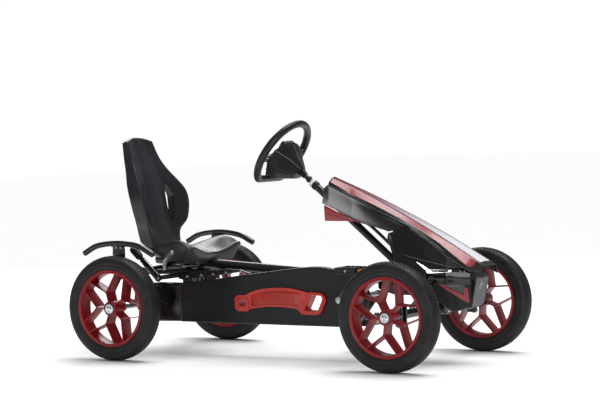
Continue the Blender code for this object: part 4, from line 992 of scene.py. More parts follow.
def column():
    """The fixed outer tube, its collar, its stay and the two bushes in its ends."""
    owner = stands_for("column_tube", "black_paint")
    wall = [(0.012, 0.0108), (0.012, 0.0134), (0.0126, 0.014), (0.5594, 0.014), (0.56, 0.0134),
            (0.56, 0.0108)]
    solid("column_outer_tube", "frame", "paint", turned(wall, TOP, DOWN, 44, closed=True), **owner)
    collar = [(0.014, 0.0139), (0.014, 0.0162), (0.0155, 0.0168), (0.028, 0.0168), (0.0295, 0.0162),
              (0.0295, 0.0139)]
    solid("column_collar", "frame", "plastic", turned(collar, TOP, DOWN, 40, closed=True), **owner)
    path = [along(0.246, 0, 0.015), along(0.262, 0, 0.024), along(0.29, 0, 0.0352), along(0.35, 0, 0.0372),
            along(0.42, 0, 0.036)]
    solid("column_stay", "frame", "paint", tube(smooth(path, 10), 0.006, 20), **owner)
    solid("column_stay_weld", "frame", "paint", weld_bead(along(0.25, 0, 0.0165), DOWN + NORMAL * 0.5,
                                                          0.0058, 0.0016, 40), angle=60, **owner)
    for name, start, radius in (("upper", -0.0005, 0.017), ("lower", 0.5605, 0.014)):
        profile = [(0, 0.0101), (0, radius - 0.0012), (0.001, radius), (0.006, radius),
                   (0.0068, radius - 0.001)]
        profile += [(0.0092, radius - 0.001), (0.01, radius - 0.0002), (0.0112, radius - 0.0004),
                    (0.012, radius - 0.0014), (0.012, 0.0101)]
        body = turned(profile, along(start), DOWN, 44, closed=True)
        solid(f"{name}_bush_moulded", "frame", "nylon", body,
              **stands_for(f"{name}_column_bush", "white_nylon"))


def shaft():
    """The turning shaft, and the pitman arm at its foot."""
    owner = stands_for("steering_shaft", "satin_steel")
    profile = [(-0.1556, 0.0085), (-0.1546, 0.0095), (0.6172, 0.0095), (0.6182, 0.0085)]
    solid("steering_shaft_turned", "steering_body", "gloss", turned(profile, TOP, DOWN, 40), **owner)
    clamp = [(-0.02, 0.0096), (-0.02, 0.0125), (-0.019, 0.0132), (-0.012, 0.0132), (-0.011, 0.0125),
             (-0.011, 0.0096)]
    solid("shaft_clamp_ring", "steering_body", "plastic", turned(clamp, TOP, DOWN, 36, closed=True),
          **owner)
    owner = stands_for("pitman_arm", "black_paint")
    start = 0.6185
    corners = [(-0.013, 0.014), (0.013, 0.014), (0.019, -0.078), (0.019, -0.0905), (-0.019, -0.0905),
               (-0.019, -0.078)]
    loop = rounded(corners, 0.006)
    pair = [[along(level, side, above) for side, above in loop] for level in (start, start + 0.005)]
    solid("pitman_plate", "steering_body", "paint", rings(pair), width=0.0007, **owner)
    studs = []
    for side in (-0.013, 0.013):
        profile = [(0.004, 0.004), (0.0088, 0.004), (0.0092, 0.0036)]
        studs.append(turned(profile, along(start, side, -0.085), DOWN, 20))
        studs.append(turned([(0.0048, 0.0068), (0.0064, 0.0068), (0.007, 0.006)],
                            along(start, side, -0.085), DOWN, 6))
    studs.append(turned([(0.005, 0.0125), (0.0085, 0.0125), (0.0095, 0.0112), (0.0095, 0.005)],
                        along(start), DOWN, 6))
    solid("pitman_studs", "steering_body", "steel", *studs, angle=25, **owner)


LIFT = ANGLE - math.radians(6.0)
WHEEL_UP = Vector((math.sin(LIFT), 0, math.cos(LIFT)))
WHEEL_OUT = Vector((-math.cos(LIFT), 0, math.sin(LIFT)))


def on_wheel(side, above, towards=0.0):
    """A point on the steering wheel's tilted plane."""
    return along(-0.1676) + Vector((0, side, 0)) + WHEEL_UP * above + WHEEL_OUT * towards


def wheel_outline(radius, flat, corner, count=1):
    """A circle with a flat bottom and rounded corners."""
    height = -flat + corner
    reach = math.sqrt((radius - corner) ** 2 - height**2)
    start = math.degrees(math.atan2(height, reach))
    loop = arc((0, 0), radius, start, 180 - start, 72 * count)
    loop += arc((-reach, height), corner, 180 - start, 270, 9)[1:]
    floor_end = arc((reach, height), corner, 270, 360 + start, 9)
    steps = 12
    first, last = loop[-1], floor_end[0]
    loop += [between(first, last, i / steps) for i in range(1, steps)]
    return loop + floor_end[:-1]


def outward(loop, i):
    """The direction out of a loop at one of its points."""
    tangent = (Vector(loop[(i + 1) % len(loop)]) - Vector(loop[i - 1])).normalized()
    return Vector((tangent.y, -tangent.x))


def steering_wheel():
    """The rim with thumb swellings and seams, three slotted spokes, the hub pad and its screws."""
    owner = dict(replaces=("steering_wheel",))
    loop = wheel_outline(0.1385, 0.1125, 0.03)
    rows = []
    sides = 24
    for i, (a, b) in enumerate(loop):
        out = outward(loop, i)
        turn = math.degrees(math.atan2(b, a))
        thumb = math.exp(-(((abs(abs(turn) - 90) - 62) / 9.0) ** 2)) if b > 0 else 0.0
        row = []
        for j in range(sides):
            t = TAU * j / sides
            wide = 0.0138 + 0.0014 * thumb
            deep = 0.015
            x_off = wide * math.cos(t)
            y_off = deep * math.sin(t)
            if math.cos(t) < 0 and abs(math.sin(t)) < 0.75:
                x_off -= 0.0012 * (1 - abs(math.sin(t)) / 0.75)
            spot = Vector((a, b)) + out * x_off
            row.append(on_wheel(spot.x, spot.y, y_off))
        rows.append(row)
    solid("steering_rim_grip", "steering_body", "grip", rings(rows, closed=True), slot="black_grip",
          angle=60, **owner)
    seam = []
    for level in (0.0, math.radians(180)):
        path = []
        for i, (a, b) in enumerate(loop):
            spot = Vector((a, b)) + outward(loop, i) * (0.0138 if level == 0 else -0.0149)
            path.append(on_wheel(spot.x, spot.y, 0.0))
        seam.append(tube(path, 0.00045, 8, closed=True))
    solid("steering_rim_seams", "steering_body", "gloss", *seam, slot="black_grip", angle=60, **owner)

    spokes = []
    for side in (-1, 1):
        outline = [(0.022, 0.013), (0.022, -0.028), (0.06, -0.031), (0.126, -0.029), (0.13, -0.006),
                   (0.075, 0.004)]
        outline = [(side * a, b) for a, b in outline]
        slot = rounded([(side * a, b) for a, b in ((0.058, -0.0105), (0.058, -0.0205), (0.108, -0.0205),
                                                   (0.111, -0.012))], 0.0035)
        loop = rounded(outline, 0.006)
        spokes.append(slotted(loop, slot, -0.006, 0.003))
    solid("steering_side_spokes", "steering_body", "spoke", *spokes, width=0.0012, slot="black_grip",
          **owner)
    outline = [(-0.022, -0.026), (0.022, -0.026), (0.017, -0.108), (-0.017, -0.108)]
    loop = rounded(outline, 0.004)
    slot = rounded([(-0.008, -0.058), (0.008, -0.058), (0.006, -0.094), (-0.006, -0.094)], 0.003)
    solid("steering_lower_spoke", "steering_body", "plastic", slotted(loop, slot, -0.006, 0.0025),
          width=0.001, slot="black_grip", **owner)
    half = [(0.034, 0.056), (0.04, 0.048), (0.036, -0.045), (0.024, -0.055)]
    pad = rounded(half + [(-side, above) for side, above in half[::-1]], 0.009, 5)
    levels = [(pad, -0.0072), (pad, 0.0075), (inset(pad, 0.001), 0.0095), (inset(pad, 0.003), 0.0112),
              (inset(pad, 0.0065), 0.0122)]
    levels += [(inset(pad, 0.012), 0.0124), (inset(pad, 0.0128), 0.0116), (inset(pad, 0.0136), 0.0116),
               (inset(pad, 0.0144), 0.0126)]
    loops = [[on_wheel(a, b, level) for a, b in (loop if area_of(loop) > 0 else loop[::-1])] for loop,
             level in levels]
    solid("steering_hub_pad", "steering_body", "plastic", rings(loops), slot="black_grip", angle=40,
          **owner)
    screws = Shape()
    for a, b in ((0.036, -0.018), (0.1165, -0.016), (-0.036, -0.018), (-0.1165, -0.016)):
        screws.place(bolt(on_wheel(a, b, 0.0028), WHEEL_OUT, 0.0028, 0.0024))
    solid("steering_screws", "steering_body", "steel", screws, slot="black_grip", **owner)


def slotted(outline, slot, low, high):
    """A flat plate on the steering wheel's plane, between two levels, with one slot through it."""
    points, faces, starts = [], [], []
    for loop in (outline, slot):
        start, size = len(points), len(loop)
        points += [on_wheel(a, b, low) for a, b in loop] + [on_wheel(a, b, high) for a, b in loop]
        faces += [(start + i, start + (i + 1) % size, start + size + (i + 1) % size, start + size + i)
                  for i in range(size)]
        starts.append((start, size))
    flat = [[Vector((*p, 0)) for p in loop] for loop in (outline, slot)]
    for level in (0, 1):
        ids = [start + level * size + i for start, size in starts for i in range(size)]
        faces += [tuple(ids[i] for i in triangle) for triangle in tessellate_polygon(flat)]
    return points, faces


def steering_housing():
    """The faceted cover under the wheel: a ridge on top, side creases with painted highlights along them,
    stepped edges and a gaiter.
    """
    owner = stands_for("steering_housing", "black_plastic")
    back = [(0.0, 0.06), (0.04, 0.0565), (0.099, 0.031), (0.116, -0.014), (0.066, -0.086), (0.0, -0.094)]
    middle = [(0.0, 0.0365), (0.02, 0.033), (0.05, 0.023), (0.101, -0.016), (0.053, -0.071), (0.0, -0.077)]
    front = [(0.0, 0.02), (0.009, 0.018), (0.017, 0.013), (0.038, -0.01), (0.022, -0.0315), (0.0, -0.034)]
    lean = math.sin(math.radians(6.0))

    def between_rings(share):
        if share <= 0.5:
            pairs, t = zip(back, middle), share * 2
            start, end, tilt = -0.1571, -0.11, lean * (1 - t)
        else:
            pairs, t = zip(middle, front), share * 2 - 1
            start, end, tilt = -0.11, -0.06, 0.0
        half = [(a[0] + (b[0] - a[0]) * t, a[1] + (b[1] - a[1]) * t) for a, b in pairs]
        outline = [(-side, above) for side, above in half[:0:-1]] + half[:-1]
        distance = start + (end - start) * t
        return [(distance, side, above, tilt) for side, above in outline]

    def ring(share, scale=1.0, shift=0.0):
        return [along(d + shift - tilt * a, y * scale, a * scale) for d, y, a, tilt in between_rings(share)]

    levels = [ring(0.0, 0.975), ring(0.0, 1.0, 0.0012), ring(0.085), ring(0.09, 0.975), ring(0.115, 0.975),
              ring(0.12)]
    levels += [ring(0.3), ring(0.5), ring(0.72), ring(0.975), ring(1.0, 0.93)]
    cover = Shape().add(*rings(levels)).object("steering_cover_shell")
    bevel(cover, 0.0011, 2, 9)
    finish(cover, "steering_body", M["plastic"], angle=20, **owner)
    # Thin grey tubes along the ridge and the side creases: painted highlights on the black cover.
    creases = []
    for side in (-1, 1):
        path = [along(d, side * y, a + 0.0004) for d, y,
                a in ((-0.153, 0.099, 0.031), (-0.11, 0.05, 0.023), (-0.063, 0.018, 0.0135))]
        creases.append(tube(path, 0.0011, 10))
    path = [along(d, 0, a + 0.0003) for d, a in ((-0.152, 0.0585), (-0.11, 0.0365), (-0.063, 0.0205))]
    creases.append(tube(path, 0.001, 10))
    solid("steering_cover_creases", "steering_body", "spoke", *creases, angle=60, **owner)
    ribs = []
    for side in (-1, 1):
        for low, high in ((-0.03, -0.022), (-0.055, -0.038)):
            path = [along(-0.15, side * (0.112 + low * 0.35), low), along(-0.11, side * 0.09, high),
                    along(-0.075, side * 0.052, high * 0.6)]
            ribs.append(tube(path, 0.0013, 10))
    solid("steering_cover_ribs", "steering_body", "plastic", *ribs, angle=60, **owner)
    gaiter = [(-0.06, 0.0098), (-0.06, 0.015)]
    for i in range(4):
        base = -0.059 + 0.0058 * i
        gaiter += [(base, 0.016 - 0.001 * i), (base + 0.0028, 0.016 - 0.001 * i),
                   (base + 0.0042, 0.0136 - 0.0008 * i)]
    gaiter += [(-0.0355, 0.0118), (-0.0355, 0.0098)]
    solid("steering_cover_gaiter", "steering_body", "grip", turned(gaiter, TOP, DOWN, 40, closed=True),
          **owner)


def front_end():
    """The swinging front axle, and on each side the knuckle and the tie rod."""
    owner = stands_for("front_axle_beam", "black_paint")
    body = "front_axle_body"
    beam = [straight((FRONT_X, -0.2825, AXLE_Z), (FRONT_X, 0.2825, AXLE_Z), 0.0165, 40)]
    solid("front_beam_tube", body, "paint", *beam, **owner)
    bush = [(-0.0395, 0.0088), (-0.0395, 0.021), (-0.0388, 0.022), (0.0388, 0.022), (0.0395, 0.021),
            (0.0395, 0.0088)]
    solid("front_beam_pivot", body, "paint", turned(bush, (FRONT_X, 0, AXLE_Z), (1, 0, 0), 44, closed=True),
          **owner)
    yokes = []
    beads = [weld_bead((FRONT_X, y, AXLE_Z), ACROSS, 0.0166, 0.0021, 50) for y in (-0.2722, 0.2722)]
    pins = []
    for side in (-1, 1):
        y = side * KINGPIN_Y
        low, high = sorted((side * 0.274, side * 0.282))
        outline = rounded([(FRONT_X - 0.018, AXLE_Z - 0.041), (FRONT_X + 0.018, AXLE_Z - 0.041),
                           (FRONT_X + 0.018, AXLE_Z + 0.041), (FRONT_X - 0.018, AXLE_Z + 0.041)], 0.003)
        yokes.append(plate(outline, low, high))
        for level in (-0.038, 0.038):
            outline = [(FRONT_X - 0.018, y - side * 0.022), (FRONT_X + 0.018, y - side * 0.022),
                       (FRONT_X + 0.015, y + side * 0.004)]
            outline += [(FRONT_X + 0.009, y + side * 0.014), (FRONT_X - 0.009, y + side * 0.014),
                        (FRONT_X - 0.015, y + side * 0.004)]
            yokes.append(plate(rounded(outline, 0.004), AXLE_Z + level - 0.003, AXLE_Z + level + 0.003,
                               axis="z"))
        pins.append(straight((FRONT_X, y, AXLE_Z - 0.046), (FRONT_X, y, AXLE_Z + 0.043), 0.006, 24))
        pins.append(turned([(0.041, 0.0105), (0.0425, 0.0105), (0.043, 0.0096), (0.0462, 0.0096),
                            (0.047, 0.0086)], (FRONT_X, y, AXLE_Z), UPWARDS, 6))
        pins.append(turned([(0.041, 0.0105), (0.044, 0.01), (0.0452, 0.0086)], (FRONT_X, y, AXLE_Z),
                           (0, 0, -1), 6))
    solid("front_beam_yokes", body, "paint", *yokes, width=0.0007, **owner)
    solid("front_beam_weld_beads", body, "paint", *beads, angle=60, **owner)
    solid("kingpin_bolts", body, "steel", *pins, angle=25, **owner)
    for name, side in SIDES:
        y = side * KINGPIN_Y
        owner = stands_for(f"stub_axle_{name}", "black_paint")
        body = f"knuckle_{name}_body"
        sleeve = [(-0.0345, 0.0068), (-0.0345, 0.0118), (-0.0338, 0.0125), (0.0338, 0.0125),
                  (0.0345, 0.0118), (0.0345, 0.0068)]
        parts = [turned(sleeve, (FRONT_X, y, AXLE_Z), UPWARDS, 40, closed=True)]
        reach = FRONT_Y - 0.0375
        boss = [(0.004, 0.016), (0.012, 0.0152), (0.016, 0.015), (reach - 0.3012, 0.015),
                (reach - 0.3, 0.0138)]
        parts.append(turned(boss, (FRONT_X, y, AXLE_Z), (0, side, 0), 36))
        solid(f"knuckle_{name}_forging", body, "paint", *parts, **owner)
        tip = FRONT_Y + 0.032
        spindle = [(0.008, 0.0098), (tip - 0.3 - 0.0008, 0.0098), (tip - 0.3, 0.009)]
        solid(f"knuckle_{name}_spindle", body, "steel",
              turned(spindle, (FRONT_X, y, AXLE_Z), (0, side, 0), 32), **owner)
        outline = [(FRONT_X - 0.004, y - side * 0.009), (FRONT_X - 0.004, y + side * 0.009),
                   (0.515, y + side * 0.0085), (0.5, y + side * 0.0095)]
        outline += [(0.488, y + side * 0.007), (0.4865, y), (0.488, y - side * 0.007),
                    (0.5, y - side * 0.0095), (0.515, y - side * 0.0085)]
        arm = plate(rounded(outline, 0.003), 0.1985, 0.2045, axis="z")
        solid(f"knuckle_{name}_steering_arm", body, "paint", arm, width=0.0008, **owner)
        stud = [(-0.0105, 0.0032), (-0.0098, 0.004), (0.0145, 0.004)]
        nut = [(0.0147, 0.0072), (0.0186, 0.0072), (0.0194, 0.0062)]
        parts = [turned(stud, (0.497, y, 0.19), UPWARDS, 20), turned(nut, (0.497, y, 0.19), UPWARDS, 6)]
        solid(f"knuckle_{name}_stud", body, "steel", *parts, angle=25, **owner)

        owner = stands_for(f"tie_rod_{name}", "satin_steel")
        body = f"tie_rod_{name}_body"
        outer = Vector((0.497, y, 0.19))
        inner = Vector((0.486, side * 0.013, 0.186))
        way = (inner - outer).normalized()
        length = (inner - outer).length
        bar = [(0.01, 0.005), (0.03, 0.0052), (0.032, 0.0062), (0.042, 0.0062), (0.043, 0.0045),
               (length - 0.046, 0.0045)]
        bar += [(length - 0.045, 0.0062), (length - 0.036, 0.0062), (length - 0.035, 0.005),
                (length - 0.006, 0.0048)]
        parts = [turned(bar, outer, way, 24)]
        eye = [(-0.0065, 0.0047), (-0.0065, 0.0102), (-0.0052, 0.0113), (0.0052, 0.0113), (0.0065, 0.0102),
               (0.0065, 0.0047)]
        parts.append(turned(eye, outer, UPWARDS, 36, closed=True))
        parts.append(turned([(-0.006, 0.007), (-0.0048, 0.0083), (0.0048, 0.0083), (0.006, 0.007)], inner,
                            UPWARDS, 32))
        solid(f"tie_rod_{name}_forged", body, "steel", *parts, angle=30, **owner)


def rear_end():
    """The rear axle with its collars and bearings, and the brake drum with its shoe."""
    owner = stands_for("rear_axle_shaft", "satin_steel")
    reach = REAR_Y + 0.032
    profile = [(-reach, 0.0088), (-reach + 0.001, 0.01), (reach - 0.001, 0.01), (reach, 0.0088)]
    solid("rear_axle_turned", "rear_axle_body", "steel", turned(profile, (REAR_X, 0, AXLE_Z), ACROSS, 40),
          **owner)
    collars = []
    for y in (-0.221, 0.221, -0.341, 0.341, 0.142):
        ring = [(-0.004, 0.0101), (-0.004, 0.016), (-0.0032, 0.0168), (0.0032, 0.0168), (0.004, 0.016),
                (0.004, 0.0101)]
        collars.append(turned(ring, (REAR_X, y, AXLE_Z), ACROSS, 36, closed=True))
    solid("rear_axle_collars", "rear_axle_body", "bright", *collars, **owner)
    for name, side in SIDES:
        ring = [(-0.006, 0.0105), (-0.006, 0.0138), (-0.0045, 0.0142), (-0.0045, 0.0172), (-0.006, 0.0176),
                (-0.006, 0.0203), (-0.0054, 0.021)]
        ring += [(0.0054, 0.021), (0.006, 0.0203), (0.006, 0.0176), (0.0045, 0.0172), (0.0045, 0.0142),
                 (0.006, 0.0138), (0.006, 0.0105)]
        part = turned(ring, (REAR_X, side * CARRIER_Y, AXLE_Z), ACROSS, 48, closed=True)
        solid(f"rear_bearing_{name}_races", "frame", "bright", part,
              **stands_for(f"rear_bearing_{name}", "satin_steel"))
    drum = [(0.1, 0.0106), (0.1, 0.018), (0.1015, 0.02), (0.1015, 0.04), (0.1, 0.0415), (0.1, 0.044),
            (0.101, 0.045)]
    drum += [(0.108, 0.045), (0.1085, 0.0444), (0.119, 0.0444), (0.1195, 0.045), (0.127, 0.045),
             (0.128, 0.044), (0.128, 0.0106)]
    solid("brake_drum_turned", "rear_axle_body", "chain",
          turned(drum, (REAR_X, 0, AXLE_Z), ACROSS, 64, closed=True),
          **stands_for("brake_drum", "satin_steel"))
    shoe = arc((REAR_X, AXLE_Z), 0.0465, 60, 120, 15) + arc((REAR_X, AXLE_Z), 0.049, 120, 60, 15)
    solid("brake_lining", "frame", "grip", plate(shoe, 0.1025, 0.1255),
          **stands_for("brake_shoe", "black_paint"))
    shoe = arc((REAR_X, AXLE_Z), 0.0491, 58, 122, 15) + arc((REAR_X, AXLE_Z), 0.054, 122, 58, 15)
    stay = plate([(-0.598, 0.253), (-0.582, 0.253), (-0.58, 0.313), (-0.6, 0.313)], 0.104, 0.124)
    solid("brake_shoe_plate", "frame", "paint", plate(shoe, 0.102, 0.126), stay, width=0.0008,
          **stands_for("brake_shoe", "black_paint"))


def drive():
    """The crank with its two pedals."""
    owner = stands_for("crank", "black_paint")
    spindle = [(-0.1545, 0.0095), (-0.1535, 0.011), (0.1535, 0.011), (0.1545, 0.0095)]
    solid("crank_spindle", "crank_body", "steel", turned(spindle, (CRANK[0], 0, CRANK[1]), ACROSS, 36),
          **owner)
    turn = math.radians(54.0)
    for name, side in SIDES:
        reach = -0.145 * side
        end = (CRANK[0] + reach * math.cos(turn), CRANK[1] + reach * math.sin(turn))
        way = (Vector(end) - Vector(CRANK)).normalized()
        across = Vector((-way.y, way.x))
        outline = []
        for share, half in ((0.0, 0.014), (0.12, 0.0138), (0.3, 0.0112), (0.75, 0.01), (0.92, 0.0125),
                            (1.0, 0.0128)):
            outline.append(Vector(CRANK).lerp(Vector(end), share) + across * half)
        start_turn = math.degrees(math.atan2(way.y, way.x))
        loop = [tuple(p) for p in outline] + arc(end, 0.0128, start_turn + 90, start_turn - 90, 11)[1:]
        loop += [tuple(Vector(p) - 2 * across * (Vector(p) - Vector(CRANK)).dot(across))
                 for p in outline[::-1]][1:]
        loop += arc(CRANK, 0.014, start_turn - 90, start_turn - 270, 11)[1:-1]
        low, high = sorted((side * 0.143, side * 0.155))
        solid(f"crank_arm_{name}", "crank_body", "paint", plate(loop, low, high), width=0.0022, segments=3,
              **owner)
        axle = [(0.152, 0.006), (0.158, 0.006), (0.159, 0.0056), (0.2515, 0.0056), (0.2522, 0.0048)]
        parts = [turned(axle, (end[0], 0, end[1]), (0, side, 0), 24)]
        parts.append(turned([(0.1545, 0.0094), (0.1575, 0.0094), (0.1582, 0.0084)], (end[0], 0, end[1]),
                            (0, side, 0), 6))
        parts.append(turned([(0.154, 0.0125), (0.1552, 0.0125), (0.1556, 0.008)], (CRANK[0], 0, CRANK[1]),
                            (0, side, 0), 36))
        solid(f"pedal_spindle_{name}", "crank_body", "steel", *parts, angle=25, **owner)
        pedal(name, side, end)


def pedal(name, side, end):
    """A platform with a frame of ribs, rows of studs on both faces and a reflector in each long side."""
    x, z = end
    owner = stands_for(f"pedal_{name}", "black_plastic")
    body = f"pedal_{name}_body"
    low, high = sorted((side * 0.159, side * 0.255))
    half_x, half_z = 0.043, 0.013
    parts = []
    for y0 in (low, high - 0.01):
        outline = rounded([(x - half_x, z - half_z), (x + half_x, z - half_z), (x + half_x, z + half_z),
                           (x - half_x, z + half_z)], 0.006)
        parts.append(plate(outline, y0, y0 + 0.01, [ring_points((x, z), 0.0068, 24)]))
    for sx in (-1, 1):
        a, b = sorted((x + sx * 0.036, x + sx * half_x))
        outline = rounded([(a, z - half_z + 0.001), (b, z - half_z + 0.001), (b, z + half_z - 0.001),
                           (a, z + half_z - 0.001)], 0.003)
        parts.append(plate(outline, low + 0.004, high - 0.004))
    for step in (-0.0215, 0.0215):
        outline = [(x + step - 0.002, z - 0.0105), (x + step + 0.002, z - 0.0105),
                   (x + step + 0.002, z + 0.0105), (x + step - 0.002, z + 0.0105)]
        parts.append(plate(outline, low + 0.006, high - 0.006))
    for k in range(1, 4):
        y0 = low + (high - low) * k / 4
        outline = [(x - 0.038, z - 0.0095), (x + 0.038, z - 0.0095), (x + 0.038, z + 0.0095),
                   (x - 0.038, z + 0.0095)]
        parts.append(plate(outline, y0 - 0.002, y0 + 0.002, [ring_points((x, z), 0.0068, 20)]))
    solid(f"pedal_{name}_platform", body, "plastic", *parts, width=0.0009, **owner)
    core = [(0.16, 0.007), (0.16, 0.0105), (0.254, 0.0105), (0.254, 0.007)]
    solid(f"pedal_{name}_barrel", body, "plastic", turned(core, (x, 0, z), (0, side, 0), 28, closed=True),
          **owner)
    studs = []
    for top in (-1, 1):
        for y0 in (low + 0.005, high - 0.005):
            for k in range(5):
                sx = -0.034 + 0.017 * k
                studs.append(turned([(half_z - 0.0006, 0.0022), (half_z + 0.0009, 0.002),
                                     (half_z + 0.0012, 0.0012)], (x + sx, y0, z), (0, 0, top), 12))
        for sx in (-0.0395, 0.0395):
            for k in range(1, 7):
                y0 = low + (high - low) * k / 7
                studs.append(turned([(half_z - 0.0016, 0.002), (half_z + 0.0006, 0.0018),
                                     (half_z + 0.0009, 0.0011)], (x + sx, y0, z), (0, 0, top), 12))
    solid(f"pedal_{name}_studs", body, "plastic", *studs, **owner)
    lenses = []
    for sx in (-1, 1):
        a, b = sorted((x + sx * 0.0415, x + sx * 0.0436))
        outline = rounded([(low + 0.022, z - 0.006), (high - 0.022, z - 0.006), (high - 0.022, z + 0.006),
                           (low + 0.022, z + 0.006)], 0.002)
        lenses.append(plate(outline, a, b, axis="x"))
    solid(f"pedal_{name}_reflectors", body, "amber", *lenses, width=0.0004, **owner)


def levers():
    """The seat lever, and the hand brake with its ribbed grip."""
    owner = stands_for("seat_lever", "bright_steel")
    x, z = -0.487, 0.34
    solid("seat_lever_rod", "seat_lever_body", "steel", straight((x, -0.03, z), (x, -0.2085, z), 0.005, 24),
          **owner)
    outline = [(x - 0.008, z - 0.006), (x + 0.006, z - 0.008), (x + 0.012, z + 0.024),
               (x + 0.048, z + 0.062), (x + 0.038, z + 0.073), (x - 0.002, z + 0.032)]
    loop = rounded(outline, [0.004, 0.004, 0.01, 0.006, 0.006, 0.01], 5)
    solid("seat_lever_bar", "seat_lever_body", "bright", plate(loop, -0.2122, -0.2078), width=0.0009,
          **owner)
    owner = stands_for("brake_lever", "black_paint")
    pivot, top = BRAKE_PIVOT, (-0.528, 0.376)
    turn = math.degrees(math.atan2(top[1] - pivot[1], top[0] - pivot[0]))
    way = (Vector(top) - Vector(pivot)).normalized()
    outline = arc(top, 0.0118, turn - 90, turn + 90, 13) + arc(pivot, 0.0143, turn + 90, turn + 270, 17)
    solid("brake_lever_plate", "brake_lever_body", "paint",
          plate(outline, -0.2945, -0.2895, [ring_points(pivot, 0.004, 24)]), width=0.0007, **owner)
    # Bright metal rods along both long edges of the black-painted lever: painted highlights on its edges.
    edges = []
    across = Vector((-way.y, way.x))
    for sign in (-1, 1):
        a = Vector(pivot) + way * 0.006 + across * sign * 0.0122
        b = Vector(top) + across * sign * 0.0102
        edges.append(tube([(a.x, -0.2948, a.y), (b.x, -0.2948, b.y)], 0.0013, 12))
    solid("brake_lever_edges", "brake_lever_body", "bright", *edges, **owner)
    cap = [turned([(0.2945, 0.006), (0.2965, 0.0068), (0.2978, 0.0055), (0.2982, 0.003)],
                  (pivot[0], 0, pivot[1]), (0, -1, 0), 24)]
    solid("brake_lever_boss", "brake_lever_body", "steel", *cap, **owner)
    owner = stands_for("brake_grip", "black_grip")
    direction = Vector((way.x, 0, way.y))
    start = Vector((top[0], -0.2925, top[1])) + direction * 0.0125
    profile = [(0.0, 0.0095), (0.001, 0.012), (0.005, 0.0135), (0.007, 0.0135)]
    for k in range(4):
        base = 0.008 + 0.0105 * k
        profile += [(base, 0.0128), (base + 0.0012, 0.0152), (base + 0.005, 0.0162),
                    (base + 0.0082, 0.0152), (base + 0.0094, 0.0128)]
    profile += [(0.051, 0.014), (0.0545, 0.012), (0.057, 0.008), (0.058, 0.003)]
    solid("brake_grip_ribbed", "brake_lever_body", "grip", turned(profile, start, direction, 40), angle=40,
          **owner)


frame_weldment()
fenders()
column()
shaft()
steering_wheel()
steering_housing()
front_end()
rear_end()
drive()
levers()


# ---------------------------------------------------------------- seat

SEAT_EDGE = [(0.404, -0.604, 0.098), (0.425, -0.612, 0.1), (0.47, -0.618, 0.11), (0.51, -0.6055, 0.142)]
SEAT_EDGE += [(0.55, -0.6065, 0.158), (0.59, -0.612, 0.166), (0.63, -0.6245, 0.1625), (0.67, -0.648, 0.141)]
SEAT_EDGE += [(0.71, -0.6755, 0.116), (0.76, -0.7045, 0.097), (0.822, -0.729, 0.086), (0.85, -0.74, 0.08)]
SEAT_MIDDLE = [(0.404, -0.59), (0.425, -0.606), (0.47, -0.627), (0.52, -0.638), (0.6, -0.656),
               (0.66, -0.669)]
SEAT_MIDDLE += [(0.72, -0.692), (0.78, -0.722), (0.85, -0.754)]
SEAT_BEND = [(0.0, 0.0), (0.22, -0.03), (0.45, -0.13), (0.64, 0.26), (0.82, 0.62), (1.0, 1.0)]
SEAT_SLOT = [(0.0695, 0.507), (0.081, 0.507), (0.0966, 0.55), (0.1085, 0.606), (0.0765, 0.664),
             (0.0705, 0.63), (0.068, 0.57)]


def table(points, per_span=10):
    """A smooth function through the points of a short table."""
    dense = np.array(smooth(points, per_span))
    return lambda value, column=1: float(np.interp(value, dense[:, 0], dense[:, column]))


seat_edge, seat_middle, seat_bend = table(SEAT_EDGE), table(SEAT_MIDDLE), table(SEAT_BEND)


def seat_x(y, z):
    """Where the front of the back stands, with its column, its rim beads and its headrest recess."""
    half = seat_edge(z, 2)
    share = min(1.0, abs(y) / half)
    x = seat_middle(z) + (seat_edge(z) - seat_middle(z)) * seat_bend(share)
    window = math.exp(-(((z - 0.575) / 0.11) ** 4))
    x += 0.003 * window * math.exp(-((y / 0.04) ** 2))
    from_edge = half - abs(y)
    rim = clamp((z - 0.48) / 0.03) * clamp((0.8 - z) / 0.03)
    for place, height, width in ((0.0135, 0.0012, 0.0016), (0.0205, 0.0009, 0.0014)):
        x += rim * height * math.exp(-(((from_edge - place) / width) ** 2))
    if z > 0.768:
        reach = 0.0163 + (z - 0.772) * 0.37
        side = clamp((reach - abs(y)) / 0.0022)
        low = clamp((z - 0.7705) / 0.0022)
        x -= 0.003 * min(side, low)
    return x


